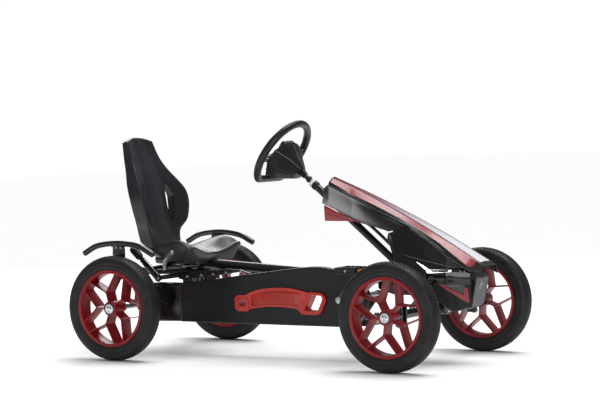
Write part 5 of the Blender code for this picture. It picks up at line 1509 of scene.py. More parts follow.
def seat_back():
    """The shell with two slots and their sleeves, and ribs behind it."""
    owner = stands_for("seat_back", "black_plastic")
    heights = [0.404 + 0.418 * i / 95 for i in range(96)]
    shares = [-1 + 2 * i / 80 for i in range(81)]
    rows = []
    for z in heights:
        edge, half = seat_edge(z), seat_edge(z, 2)
        depth = 0.031 + 0.028 * clamp((0.82 - z) / 0.16)
        depth *= 1.0 if z > 0.43 else 0.55 + 0.45 * (z - 0.404) / 0.026
        groove = 0.0032 * math.exp(-(((z - 0.64) / 0.045) ** 2))
        crown = clamp((z - 0.775) / 0.047) ** 2
        shell = []
        flange = [(edge - depth, 0.0045), (edge - depth * 0.82, 0.003),
                  (edge - depth * 0.6, 0.0022 + groove)]
        flange += [(edge - depth * 0.46, 0.0018 + groove * 0.3), (edge - 0.01, 0.0008), (edge - 0.004, 0.0)]
        shell += [Vector((x, -half + pull, z)) for x, pull in flange]
        for share in shares:
            y = half * share
            fold = 0.0022 * max(0.0, abs(share) - 0.975) / 0.025
            lift = 0.0165 * (1 - share**2) * crown
            shell.append(Vector((seat_x(y, z) - fold, y * (1 - 0.002 * (abs(share) > 0.99)), z + lift)))
        shell += [Vector((x, half - pull, z)) for x, pull in flange[::-1]]
        rows.append(shell)
    last = rows[-1]
    count = len(last)
    for back, up in ((0.003, 0.0024), (0.0075, 0.004), (0.013, 0.0044), (0.019, 0.0034)):
        row = []
        for j, point in enumerate(last):
            nearest = min(j, count - 1 - j)
            across = min(1.0, max(0.0, nearest - 1) / 6)
            row.append(point + Vector((-back * across - 0.0004 * back, -0.1 * back * point.y / 0.086,
                                       up * (0.35 + 0.65 * across))))
        rows.append(row)
    obj = Shape().add(*grid(rows)).object("seat_back_shell")
    solidify(obj, 0.0036, -1.0).modifiers[-1].use_even_offset = False
    for side in (-1, 1):
        corners = [(side * y, z) for y, z in rounded(SEAT_SLOT, 0.006, 4)]
        cutter = Shape().add(*rings([[Vector((x, y, z)) for y, z in corners]
                                     for x in (-0.76, -0.56)])).object("slot_cutter")
        cut = obj.modifiers.new("slot", "BOOLEAN")
        cut.object = cutter
        cut.solver = "EXACT"
    applied(obj)
    for cutter in [o for o in bpy.data.objects if o.name.startswith("slot_cutter")]:
        bpy.data.objects.remove(cutter)
    finish(obj, "seat_body", M["seat"], angle=38, **owner)
    for name, side in SIDES:
        outer = rounded(inset(SEAT_SLOT, -0.0012), 0.006, 4)
        inner = rounded(inset(SEAT_SLOT, 0.0004), 0.006, 4)

        def level(loop, deep):
            points = []
            for y, z in loop:
                front = seat_x(y, z)
                points.append(Vector((front + 0.0012 if not deep else seat_x(0.069, z) - 0.0175, side * y,
                                      z)))
            return points

        loops = [level(outer, 0), level(inner, 0), level(inner, 1), level(outer, 1)]
        solid(f"seat_slot_sleeve_{name}", "seat_body", "seat", rings(loops, closed=True), angle=30, **owner)
    ribs = []
    for z in (0.452, 0.486, 0.69, 0.735, 0.78):
        half = seat_edge(z, 2) - 0.006
        spans = [(-half, -0.025), (0.025, half)] if z < 0.53 else [(-half, half)]
        for low, high in spans:
            stations = [low + (high - low) * i / 24 for i in range(25)]
            front = [(seat_x(y, z) - 0.003, y) for y in stations]
            rear = [(x - 0.015 * (1 - 0.25 * abs(y) / half), y) for x, y in front]
            ribs.append(plate(front + rear[::-1], z - 0.0012, z + 0.0012, axis="z"))
    for side in (-1, 1):
        y = side * 0.04
        stations = [0.44 + 0.34 * i / 30 for i in range(31)]
        outline = [(seat_x(y, z) - 0.003, z) for z in stations] + [(seat_x(y, z) - 0.016, z)
                                                                   for z in stations[::-1]]
        ribs.append(plate(outline, y - 0.0012, y + 0.0012))
    solid("seat_back_ribs", "seat_body", "plastic", *ribs, width=0.0004, segments=1, **owner)


PAN_RIDGE = [(-0.6, 0.405), (-0.55, 0.423), (-0.5, 0.438), (-0.455, 0.447), (-0.42, 0.44), (-0.38, 0.418)]
PAN_CENTRE = [(-0.6, 0.402), (-0.5, 0.3966), (-0.42, 0.3915), (-0.38, 0.384)]
PAN_HALF = [(0.0, 0.0), (0.035, 0.03), (0.07, 0.2), (0.105, 0.5), (0.14, 0.84), (0.168, 1.0)]
pan_ridge, pan_centre, pan_share = table(PAN_RIDGE), table(PAN_CENTRE), table(PAN_HALF)


def pan_top(x, y):
    """The height of the pan's top."""
    low = pan_centre(x)
    return low + (pan_ridge(x) - low) * pan_share(abs(y))


def pan_front_x(y):
    """Where the pan's front edge is."""
    return -0.4015 + 0.02 * min(1.0, abs(y) / 0.17)


def pan_section(share):
    """One section across the pan, from its right bottom edge over both thigh ridges to its left one."""
    control = []
    for y, part in ((-0.115, 0.0), (-0.15, 0.45), (-0.177, 0.86)):
        x = -0.6 + (pan_front_x(y) + 0.6) * share
        low = 0.378 - 0.03 * (x + 0.6) / 0.22
        control.append((x, y, low + (pan_ridge(x) - low) * part))
    half = []
    for y in (-0.174, -0.166, -0.14, -0.105, -0.07, -0.035, 0.0):
        x = -0.6 + (pan_front_x(y) + 0.6) * share
        half.append((x, y, pan_top(x, y) - (0.004 if y < -0.17 else 0.0)))
    control += half
    control += [(x, -y, z) for x, y, z in control[-2::-1]]
    return [Vector(p) for p in smooth(control, 6)]


def seat_pan():
    """The shell, its upright front and the ribs under it."""
    owner = stands_for("seat_pan", "black_plastic")
    rows = [pan_section(i / 44) for i in range(45)]
    sheet("seat_pan_shell", rows, "seat_body", "seat", 0.0036, flip=True, angle=40, **owner)
    low_edge = table([(0.0, 0.3735), (0.025, 0.3705), (0.042, 0.3525), (0.116, 0.3525), (0.149, 0.3835),
                      (0.174, 0.406)], 6)
    rows = []
    for i in range(81):
        y = -0.173 + 0.346 * i / 80
        x, high = pan_front_x(y), pan_top(pan_front_x(y), y)
        low = low_edge(abs(y))
        low = min(low, high - 0.006)
        column = [Vector((x - 0.006, y, high + 0.0002)), Vector((x - 0.0006, y, high - 0.0004)),
                  Vector((x + 0.0018, y, high - 0.0024))]
        column += [Vector((x + 0.0024, y, high - 0.0052)), Vector((x + 0.0012, y, (high + low) / 2)),
                   Vector((x - 0.001, y, low))]
        rows.append(column)
    sheet("seat_pan_front", rows, "seat_body", "seat", 0.0034, 1.0, angle=40, **owner)
    ribs = []
    for x in (-0.56, -0.515, -0.47, -0.43):
        stations = [-0.118 + 0.236 * i / 20 for i in range(21)]
        top = [(y, pan_top(x, y) - 0.0034) for y in stations]
        low = [(y, z - 0.007 - 0.012 * pan_share(abs(y))) for y, z in top]
        for side in (-1, 1):
            upper, lower = ([p for p in edge if side * p[0] > 0.03] for edge in (top, low))
            ribs.append(plate(upper + lower[::-1], x - 0.0012, x + 0.0012, axis="x"))
    solid("seat_pan_ribs", "seat_body", "plastic", *ribs, **owner)


def seat_slider():
    """The saddle on the main tube, the strap up the back and their bolts."""
    owner = stands_for("seat_slider", "black_paint")
    loops = []
    for x, top in ((-0.56, 0.3862), (-0.475, 0.3862), (-0.47, 0.3858), (-0.43, 0.3798)):
        centre = tube_z(x)
        loop = [(-0.026, centre + 0.002), (-0.026, top - 0.002), (-0.024, top), (0.024, top),
                (0.026, top - 0.002), (0.026, centre + 0.002)]
        loop += [(a, centre + b) for a, b in arc((0, 0), 0.0201, 6, 174, 17)]
        loops.append([Vector((x, y, z)) for y, z in loop])
    solid("seat_slider_saddle", "seat_body", "paint", rings(loops), angle=30, **owner)
    outline = [(-0.552, 0.38), (-0.615, 0.3812), (-0.6268, 0.43), (-0.6382, 0.47), (-0.6492, 0.519)]
    outline += [(-0.6436, 0.52), (-0.6326, 0.47), (-0.6214, 0.43), (-0.6105, 0.3868), (-0.552, 0.386)]
    loop = rounded(outline, [0, 0.01, 0, 0, 0.002, 0.002, 0, 0, 0.008, 0], 5)
    solid("seat_slider_strap", "seat_body", "paint", plate(loop, -0.022, 0.022), width=0.0008, **owner)
    bolts = Shape()
    for y in (-0.0262, 0.0262):
        for x in (-0.545, -0.45):
            bolts.place(bolt((x, y, 0.366), (0, math.copysign(1, y), 0), 0.0045, 0.0036, socket=False))
    for x, z in ((-0.635, 0.453), (-0.643, 0.488)):
        bolts.place(bolt((x, 0, z), (-0.965, 0, -0.26), 0.005, 0.004))
    solid("seat_slider_bolts", "seat_body", "steel", bolts, **owner)


seat_back()
seat_pan()
seat_slider()


# ---------------------------------------------------------------- nose


TOP_HALF = [(0.2, 0.098), (0.79, 0.05)]
SHOULDER_HALF = [(0.2, 0.12), (0.75, 0.086), (0.8, 0.058)]
SHOULDER_DROP = [(0.2, 0.013), (0.29, 0.022), (0.5, 0.012), (0.58, 0.01), (0.65, 0.014), (0.71, 0.025),
                 (0.76, 0.032), (0.8, 0.022)]
CREASE_HALF = [(0.2, 0.126), (0.68, 0.104), (0.76, 0.088), (0.8, 0.06)]
CREASE_DROP = [(0.2, 0.026), (0.4, 0.031), (0.54, 0.018), (0.6, 0.024), (0.68, 0.042), (0.76, 0.046),
               (0.8, 0.032)]
SIDE_LOW = [(0.178, 0.593), (0.276, 0.5485), (0.347, 0.5195), (0.451, 0.4885), (0.53, 0.499)]
LOWER_EDGE = [(0.452, 0.46), (0.476, 0.376), (0.54, 0.315), (0.61, 0.271), (0.69, 0.198), (0.765, 0.214)]
LOWER_HALF = [(0.452, 0.126), (0.6, 0.122), (0.68, 0.104), (0.76, 0.0645)]
LOWER_TOP = [(0.452, 0.4805), (0.47, 0.485), (0.48, 0.4915), (0.5, 0.495), (0.53, 0.499)]
NOSE_TAPER, NOSE_TAPER_FROM = 0.14, 0.79
FOLD_REAR, FOLD_FRONT, FOLD_LOW = 0.5145, 0.7093, 0.3571
NOSE_REAR, NOSE_REAR_LIP, NOSE_FRONT_LIP, NOSE_FRONT = 0.205, 0.2062, 0.806, 0.807


def tapered(x, y, z, share=1.0):
    """A point of the full-width nose, moved in, back and a little down by its share of the taper."""
    pull = NOSE_TAPER * max(0.0, NOSE_TAPER_FROM - x) * share
    return Vector((x - 0.576 * pull, y - math.copysign(min(abs(y), pull), y), z - 0.042 * pull))


def lines(x, points):
    """Straight lines through the points of a short table."""
    return float(np.interp(x, [p[0] for p in points], [p[1] for p in points]))


def nose_top_z(x):
    """The height of the nose's middle line before its taper."""
    ahead = x - 0.2094
    return 0.6848 - 0.426 * ahead - 0.19 * ahead**2


def spots_material(name, ground, dot, cell, grow, fade=None, roughness=0.3):
    """Round dots on a turned square grid. grow gives the axis they change along, two places on it and the
    radii at those places.
    """
    made = material(name, ground, roughness, coat=0.3, coat_roughness=0.08)
    tree = made.node_tree
    axis, start, end, small, large = grow
    place = node(tree, "ShaderNodeSeparateXYZ", {0: coordinates(tree)})
    other = place.outputs["XYZ".index(axis.upper())]
    flat = node(tree, "ShaderNodeCombineXYZ", {0: place.outputs[0], 1: other})
    turned_grid = dict(in_Rotation=(0, 0, math.radians(45)), in_Scale=(1 / cell, 1 / cell, 1 / cell))
    step = node(tree, "ShaderNodeMapping", {"Vector": flat.outputs[0]}, **turned_grid)
    for operation, value in (("FRACTION", None), ("SUBTRACT", (0.5, 0.5, 0)), ("MULTIPLY", (1, 1, 0)),
                             ("LENGTH", None)):
        settings = {"in_1": value} if value else {}
        step = node(tree, "ShaderNodeVectorMath", {0: step.outputs[0]}, operation=operation, **settings)
    from_middle = node(tree, "ShaderNodeMath", {0: other}, operation="ABSOLUTE")
    if axis == "y":
        narrowing = node(tree, "ShaderNodeMath", {0: place.outputs[0]}, operation="MULTIPLY", in_1=-0.0538)
        sources = {0: narrowing.outputs[0], 1: from_middle.outputs[0]}
        from_middle = node(tree, "ShaderNodeMath", sources, operation="ADD")
    ends = dict(in_From_Min=start, in_From_Max=end, in_To_Min=small, in_To_Max=large)
    size = node(tree, "ShaderNodeMapRange", {"Value": from_middle.outputs[0]}, **ends)
    sources = {0: step.outputs["Value"], 1: size.outputs["Result"]}
    inside = node(tree, "ShaderNodeMath", sources, operation="LESS_THAN")
    mix = node(tree, "ShaderNodeMix", {0: inside.outputs[0]}, data_type="RGBA", in_6=(*ground, 1),
               in_7=(*dot, 1))
    if fade:
        rear, front, stops = fade
        along_nose = node(tree, "ShaderNodeMapRange", {"Value": place.outputs[0]}, in_From_Min=rear,
                          in_From_Max=front)
        tree.links.new(ramp(tree, along_nose.outputs["Result"], stops), mix.inputs[6])
    tree.links.new(mix.outputs[2], tree.nodes["Principled BSDF"].inputs["Base Color"])
    return grain(made, 1500, 0.05, 0.0002)


def nose_materials():
    """The finishes that only the nose has."""
    fade = (0.2, 0.66, [(0.0, (0.3, 0.05, 0.07)), (0.3, (0.36, 0.14, 0.18)), (0.65, (0.62, 0.57, 0.64)),
                        (1.0, (0.86, 0.85, 0.9))])
    M["top"] = spots_material("printed_top", (0.8, 0.8, 0.85), (0.02, 0.018, 0.024), 0.0052,
                              ("y", -0.012, 0.0075, 0.12, 0.74), fade)
    M["mesh"] = spots_material("dotted_grille", (0.016, 0.016, 0.017), (0.13, 0.13, 0.135), 0.005,
                               ("z", 0.25, 0.33, 0.26, 0.4), None, 0.5)
    stripe = material("red_stripe", (0.28, 0.016, 0.026), 0.3, coat=0.35, coat_roughness=0.1)
    M["stripe"] = grain(uneven(stripe, (0.25, 0.012, 0.021), (0.32, 0.02, 0.031), 9, (0.24, 0.36), 60),
                        1500, 0.06, 0.0002)
    # Painted light: the side panel's colour ramps from near black by the top crease to lighter grey towards
    # the lower rear, where the flared panel faces the overhead light, with a little random cloud in the
    # tones.
    grey = material("side_plastic_painted_light_gradient", (0.05, 0.05, 0.055), 0.38, specular=0.5)
    tree = grey.node_tree
    sources = {0: coordinates(tree)}
    depth = node(tree, "ShaderNodeVectorMath", sources, operation="DOT_PRODUCT", in_1=(-0.62, 0.0, -1.0))
    sources = {0: noise(tree, 13, 3, 0.5), 2: depth.outputs["Value"]}
    cloud = node(tree, "ShaderNodeMath", sources, operation="MULTIPLY_ADD", in_1=0.04)
    spread = node(tree, "ShaderNodeMapRange", {"Value": cloud.outputs[0]}, in_From_Min=-0.795,
                  in_From_Max=-0.675)
    stops = [(0.0, (0.005, 0.005, 0.006)), (0.35, (0.01, 0.01, 0.011)), (0.7, (0.03, 0.031, 0.034)),
             (1.0, (0.06, 0.061, 0.066))]
    painted_light_tones = ramp(tree, spread.outputs["Result"], stops)
    tree.links.new(painted_light_tones, tree.nodes["Principled BSDF"].inputs["Base Color"])
    M["shaded"] = grain(grey, 1500, 0.14, 0.0003, 0.04)
    # Painted glow: the headlight lens emits light though the kart's headlight is no lamp; the glow stands in
    # for the bright white reflection on its lens.
    lit = material("lens_with_painted_glow", (0.95, 0.96, 1.0), 0.08, specular=0.6, coat=0.5, coat_roughness=0.03)
    tree = lit.node_tree
    shader = tree.nodes["Principled BSDF"]
    shader.inputs["Emission Strength"].default_value = 3.2
    painted_glow_colour = ramp(tree, noise(tree, 260, 1, 0.4), [(0.3, (0.92, 0.95, 1.0)), (0.7, (1.0, 1.0, 1.0))])
    tree.links.new(painted_glow_colour, shader.inputs["Emission Color"])
    M["lens"] = grain(lit, 420, 0.15, 0.0004)
    bumper = grain(material("woven_look_plastic", (0.085, 0.087, 0.095), 0.46, specular=0.45), 800, 0.3,
                   0.0005)
    M["bumper"] = uneven(bumper, (0.07, 0.072, 0.08), (0.115, 0.117, 0.127), 60, (0.38, 0.56), 200)


def lower_top(x):
    """The lower panel's top edge: first the side panel's hem, then the top cover's crease."""
    crease = nose_top_z(x) - lines(x, CREASE_DROP) - 0.0015
    rise = clamp((x - 0.53) / 0.012)
    return lines(x, LOWER_TOP) * (1 - rise) + crease * rise


def on_panel(side, x, out, z):
    """A point at a height on the lower panel's side, with the taper that this height has."""
    high, low = lower_top(x), lines(x, LOWER_EDGE)
    return tapered(x, side * out, z, clamp((z - low) / (high - low)))


def flare(x, share):
    """How much of the taper the side panel has, less of it lower down and further back."""
    return 1.0 - share**0.8 * (1.0 - lines(x, [(0.3, 0.0), (0.5, 1.0)]))


def blend(a, b, count, last=False):
    """Points from a towards b, with b itself only when last is set."""
    steps = count + 1 if last else count
    return [between(a, b, i / count) for i in range(steps)]


def top_section(x):
    """Half a section of the top cover, from its side crease up to its middle, with softened corners."""
    top = nose_top_z(x)
    crease = (lines(x, CREASE_HALF), top - lines(x, CREASE_DROP))
    shoulder = (lines(x, SHOULDER_HALF), top - lines(x, SHOULDER_DROP))
    edge = (lines(x, TOP_HALF), top)
    middle = (0.0, top + 0.003)

    def near(a, b, reach):
        return between(a, b, min(0.3, reach / math.dist(a, b)))

    def corner(a, b, c, reach):
        start, end = near(b, a, reach), near(b, c, reach)
        curve = []
        for i in range(5):
            t = i / 4
            curve.append(tuple((1 - t) ** 2 * s + 2 * t * (1 - t) * m + t * t * e for s, m,
                               e in zip(start, b, end)))
        return curve

    first = corner(crease, shoulder, edge, 0.0022)
    second = corner(shoulder, edge, middle, 0.003)
    return blend(crease, first[0], 5) + first[:-1] + blend(first[-1], second[0],
                                                           8) + second[:-1] + blend(second[-1], middle, 10,
                                                                                    True)


def swelling(share):
    """The glint's radius, which is largest in the middle of its length."""
    return 0.0004 + 0.0007 * math.sin(math.pi * share)


def nose_top():
    """The top cover in three colours, with its lips, its side seams and a thin glint."""
    owner = stands_for("nose_top_cover", "red_plastic")
    count = 210
    rows = []
    for i in range(count + 1):
        x = NOSE_REAR + (NOSE_FRONT - NOSE_REAR) * i / count
        half = [(x, -y, z) for y, z in top_section(x)]
        rows.append([tapered(*p) for p in mirrored(half)])
    points, faces = grid(rows)
    size = len(rows[0])
    middle = (size - 1) // 2
    spots = []
    for i in range(count):
        x = NOSE_REAR + (NOSE_FRONT - NOSE_REAR) * (i + 0.5) / count
        for j in range(size - 1):
            k = j if j < middle else size - 2 - j
            share = (k - 8.5) / 9.0
            spot = 0 if k < 7 else (1 if k < 19 else 2)
            if spot == 1:
                if x > 0.742 and ((x - 0.742) / 0.034) ** 2 + ((share - 0.8) / 1.0) ** 2 > 1:
                    spot = 0
            if spot == 2 and x > 0.786:
                spot = 0
            if x < 0.2095:
                spot = 0
            spots.append(spot)
    obj = mesh_object("nose_top_skin", points, faces, spots)
    solidify(obj, 0.003, -1.0)
    finish(applied(obj), "frame", M["plastic"], M["stripe"], M["top"], angle=24, **owner)
    rear = [(NOSE_REAR_LIP, -y, z - 0.001) for y, z in top_section(NOSE_REAR_LIP)]
    path = [tapered(*p) for p in mirrored(rear)]
    solid("nose_rear_lip", "frame", "gloss", tube(path, 0.0019, 12), **owner)
    path = mirrored([(NOSE_FRONT_LIP, -y, z - 0.0012) for y, z in top_section(NOSE_FRONT_LIP)])
    solid("nose_front_lip", "frame", "plastic", tube(path, 0.0018, 12), **owner)
    for name, side in SIDES:
        seam = []
        for i in range(60):
            x = 0.212 + 0.56 * i / 59
            y, z = top_section(x)[0]
            seam.append(tapered(x, side * (y + 0.0002), z + 0.001))
        solid(f"nose_seam_{name}", "frame", "gloss", tube(seam, 0.001, 10), **owner)
        flash = []
        for i in range(16):
            x = 0.622 + 0.052 * i / 15
            section = top_section(x)
            y, z = section[2]
            flash.append(tapered(x, side * (y + 0.0004), z))
        solid(f"nose_glint_{name}", "frame", "spoke", tube(flash, swelling, 8), **owner)


def side_surface(side):
    """The side panel's rows of points, from the top cover's crease down to its hem."""
    rows = []
    for i in range(91):
        x = 0.178 + 0.366 * i / 90
        high = nose_top_z(max(x, 0.2)) - lines(x, CREASE_DROP) - 0.0015 - max(0.0, 0.2 - x) * 0.9
        low = lines(x, SIDE_LOW)
        outer = lines(x, CREASE_HALF)
        row = []
        for j in range(25):
            share = j / 24
            pull = 0.0062 * math.sin(math.pi * min(1.0, share * 1.05)) - 0.002 * share
            pull += 0.002 * max(0.0, 1 - j / 2) ** 2 + 0.0016 * max(0.0, 1 - (24 - j) / 2) ** 2
            row.append(tapered(x, side * (outer - pull), high + (low - high) * share, flare(x, share)))
        rows.append(row)
    return rows


def panel_y(x, z):
    """How far out the lower panel stands at a point of its side."""
    high, low = lower_top(x), lines(x, LOWER_EDGE)
    share = clamp((high - z) / max(high - low, 1e-6))
    return lines(x, LOWER_HALF) - float(np.interp(share, [0, 0.3, 0.6, 1.0], [0.004, 0.0, 0.0, 0.01]))


def fold_z(x):
    """The crease along the lower panel, from the bottom of the side panel to the pod's rear end."""
    return FOLD_LOW + (0.4034 - 0.357) * (FOLD_FRONT - x) / (FOLD_FRONT - FOLD_REAR)


def pod_span(x):
    """The pod's bottom and top edges."""
    return 0.2965 + 0.03 * (0.7 - x) * 0.2, 0.356 - 0.05 * max(0.0, x - 0.7)


def pod_y(x, z):
    """The rounded pod at the front of the lower panel stands out over it."""
    low, high = pod_span(x)
    share = clamp((z - low) / (high - low))
    reach = min(1.0, (x - 0.6) / 0.035) ** 0.5 if x > 0.6 else 0.0
    return panel_y(x, z) + 0.001 + 0.0075 * reach * math.sin(math.pi * share) ** 0.6


def decal(name, outline, surface, lift, thick, paint, side, owner, step=0.004):
    """A thin piece of any outline, laid on a side surface."""
    dense = []
    for a, b in zip(outline, outline[1:] + outline[:1]):
        count = max(1, int(math.dist(a, b) / step))
        dense += [between(a, b, i / count) for i in range(count)]
    size = len(dense)
    points = []
    for level in (lift - thick, lift):
        points += [on_panel(side, x, surface(x, z) + level, z) for x, z in dense]
    flat = [[Vector((x, z, 0)) for x, z in dense]]
    triangles = [tuple(t) for t in tessellate_polygon(flat)]
    faces = [tuple(i for i in t) for t in triangles] + [tuple(i + size for i in t) for t in triangles]
    faces += [(i, (i + 1) % size, size + (i + 1) % size, size + i) for i in range(size)]
    solid(name, "frame", paint, (points, faces), **owner)


def nose_side(name, side):
    """One side: the side panel, the winglet, the lower panel with its pod and decals, the headlight."""
    owner = stands_for(f"nose_side_panel_{name}", "grey_plastic")
    rows = side_surface(side)
    # The side skin takes the plastic with the painted light gradient, lighter towards its lower rear.
    sheet(f"nose_side_skin_{name}", rows, "frame", "shaded", 0.0028, flip=side > 0, **owner)
    hem = [row[-1] + Vector((0, -side * 0.0012, 0.0004)) for row in rows]
    solid(f"nose_side_hem_{name}", "frame", "gloss", tube(hem, 0.0016, 10), **owner)
    rear = [p + Vector((0.0008, -side * 0.0012, 0)) for p in rows[0]]
    solid(f"nose_side_rear_{name}", "frame", "gloss", tube(rear, 0.0016, 10), **owner)

    owner = stands_for(f"nose_winglet_{name}", "red_plastic")
    rows = []
    for i in range(37):
        x = 0.185 + 0.145 * i / 36
        high = lines(x, SIDE_LOW) - 0.0045
        low = min(0.525, high - 0.002)
        row = []
        for share, out in ((0, 0.1246), (0.03, 0.1258), (0.1, 0.1266), (0.4, 0.1262), (0.47, 0.1258),
                           (0.5, 0.1236), (0.53, 0.1236), (0.56, 0.1252), (0.8, 0.1232), (0.96, 0.1222),
                           (1.0, 0.1208)):
            row.append(Vector((x, side * out, high + (low - high) * share)))
        rows.append(row)
    sheet(f"nose_winglet_skin_{name}", rows, "frame", "stripe", 0.0028, flip=side > 0, **owner)

    owner = stands_for(f"nose_lower_panel_{name}", "black_plastic")
    rows = []
    for i in range(91):
        x = 0.454 + 0.306 * i / 90
        high, low = lower_top(x), lines(x, LOWER_EDGE)
        row = []
        for j in range(37):
            z = high + (low - high) * j / 36
            reach = clamp((x - 0.5) / 0.05) * clamp((0.715 - x) / 0.02)
            step = 0.0022 * reach / (1 + math.exp((z - fold_z(x)) / 0.0012))
            row.append(on_panel(side, x, panel_y(x, z) - step, z))
        rows.append(row)
    sheet(f"nose_lower_skin_{name}", rows, "frame", "plastic", 0.0028, flip=side > 0, **owner)
    hem = [row[-1] + Vector((0, -side * 0.001, 0.0006)) for row in rows[6:]]
    solid(f"nose_lower_hem_{name}", "frame", "gloss", tube(hem, 0.0016, 10), **owner)
    hem = [row[0] + Vector((0, -side * 0.001, -0.0006)) for row in rows]
    solid(f"nose_lower_rim_{name}", "frame", "gloss", tube(hem, 0.0014, 10), **owner)
    # A thin grey line along the fold, wider towards its front: a painted highlight on the crease of the black
    # panel.
    fold = [(x, fold_z(x)) for x in (FOLD_REAR + 0.1948 * i / 24 for i in range(25))]
    line = [on_panel(side, x, panel_y(x, z) + 0.0002, z + 0.0008) for x, z in fold]
    solid(f"nose_fold_{name}", "frame", "spoke", tube(line, lambda s: 0.0004 + 0.0006 * s, 8), **owner)

    rows = []
    for i in range(45):
        x = 0.603 + 0.157 * i / 44
        low, high = pod_span(x)
        rows.append([on_panel(side, x, pod_y(x, z), z)
                     for z in (high + (low - high) * j / 24 for j in range(25))])
    sheet(f"nose_pod_{name}", rows, "frame", "gloss", 0.0015, flip=side > 0, **owner)
    for at, (a, b) in enumerate((((0.7255, 0.3495), (0.7316, 0.3275)),
                                 ((0.7385, 0.3475), (0.7447, 0.3273)))):
        bar = [(a[0], a[1]), (a[0] + 0.0042, a[1]), (b[0] + 0.0042, b[1]), (b[0], b[1])]
        decal(f"nose_pod_bar_{name}_{at}", bar, pod_y, 0.0006, 0.0012, "spoke", side, owner)
    vee = [(0.6352, 0.3098), (0.6462, 0.3081), (0.7375, 0.256), (0.7375, 0.2836), (0.75, 0.2836),
           (0.753, 0.2323), (0.746, 0.229)]
    decal(f"nose_vee_{name}", vee, panel_y, 0.0007, 0.0012, "stripe", side, owner)
    mesh = [(0.652, 0.306), (0.66, 0.315), (0.74, 0.312), (0.74, 0.288), (0.7345, 0.262)]
    decal(f"nose_mesh_{name}", mesh, panel_y, 0.0005, 0.001, "mesh", side, owner)

    owner = stands_for(f"headlight_{name}", "clear_lens")
    wedge = [(0.565, 0.3818), (0.6067, 0.3615), (0.618, 0.3512), (0.6994, 0.3499), (0.6993, 0.3426),
             (0.621, 0.3385), (0.5951, 0.3571)]

    def headlight_y(x, z):
        return max(panel_y(x, z), pod_y(x, z) if x > 0.606 else 0.0)

    # The lens and the small dome at its middle glow with emission: painted glow, since there is no bulb
    # behind them.
    decal(f"headlight_lens_{name}", wedge, headlight_y, 0.0016, 0.003, "lens", side, owner, 0.003)
    centre = on_panel(side, 0.6185, headlight_y(0.6185, 0.346) + 0.0016, 0.3455)
    glow = [(0.0, 0.0076), (0.0012, 0.0074), (0.0024, 0.006), (0.0032, 0.0035), (0.0034, 0.001)]
    solid(f"headlight_bulb_{name}", "frame", "lens", turned(glow, centre, (0, side, 0), 24), **owner)
    rim = wedge + wedge[:1]
    path = [on_panel(side, x, headlight_y(x, z) + 0.0008, z) for x, z in rim]
    solid(f"headlight_rim_{name}", "frame", "gloss", tube(path, 0.0011, 8), **owner)


def nose_bumper():
    """The block between the lower panels, with its edges, its ribs and a plain round boss."""
    owner = stands_for("nose_bumper", "grey_plastic")
    outline = [(0.766, 0.333), (0.776, 0.318), (0.755, 0.216), (0.69, 0.193), (0.643, 0.222)]
    path = rounded([(0.76, 0.333)] + outline[1:], [0, 0.006, 0.01, 0.012, 0], 6)
    rows = []
    for i in range(33):
        y = -0.05 + 0.1 * i / 32
        pull = 0.0016 * max(0.0, (abs(y) - 0.046) / 0.004) ** 2
        rows.append([Vector((x - pull, y, z)) for x, z in path])
    sheet("nose_bumper_skin", rows, "frame", "bumper", 0.003, 0.0, **owner)
    for side in (-1, 1):
        edge = [(x + 0.0006, side * 0.049, z) for x, z in path]
        solid(f"nose_bumper_edge_{side + 1}", "frame", "gloss", tube(edge, 0.0016, 10), **owner)
    slats = []
    for i in range(5):
        share = 0.16 + 0.17 * i
        x, z = 0.776 + (0.755 - 0.776) * share, 0.318 + (0.216 - 0.318) * share
        slats.append(tube([(x + 0.0006, -0.04, z), (x + 0.0012, 0, z), (x + 0.0006, 0.04, z)], 0.0011, 8))
    solid("nose_bumper_ribs", "frame", "bumper", *slats, **owner)
    badge = [(0.0, 0.015), (0.0012, 0.0148), (0.0018, 0.0136), (0.0018, 0.0118), (0.001, 0.011),
             (0.001, 0.003), (0.0026, 0.0022)]
    solid("nose_round_boss", "frame", "spoke", turned(badge, (0.7712, -0.006, 0.29), (0.98, 0, -0.2), 36),
          **owner)


nose_materials()
nose_top()
nose_side("right", -1)
nose_side("left", 1)
nose_bumper()


# ---------------------------------------------------------------- chain and guard

PITCH, CHAINRING_TEETH, SPROCKET_TEETH, CHAIN_Y = 0.0127, 34, 17, -0.113
FACE_Y, RIM_Y, HUB_Y, SEAM_X = -0.13, -0.0965, -0.122, -0.468
FRONT_HOLE = [(0.0975, 0.188), (0.154, 0.185), (0.176, 0.234), (0.171, 0.244), (0.127, 0.248)]
REAR_HOLE = [(-0.191, 0.196), (-0.16, 0.196), (-0.162, 0.221), (-0.193, 0.221)]


def gear(centre, teeth):
    """A sprocket outline with round-bottomed gaps and blunt teeth."""
    pitch_radius = teeth * PITCH / TAU
    loop = []
    for i in range(teeth):
        for share, reach in ((0.0, -0.0022), (0.14, -0.0018), (0.27, 0.0002), (0.38, 0.0018),
                             (0.45, 0.0022), (0.55, 0.0022), (0.62, 0.0018), (0.73, 0.0002),
                             (0.86, -0.0018)):
            angle = TAU * (i + share) / teeth
            loop.append((centre[0] + (pitch_radius + reach) * math.cos(angle),
                         centre[1] + (pitch_radius + reach) * math.sin(angle)))
    return loop


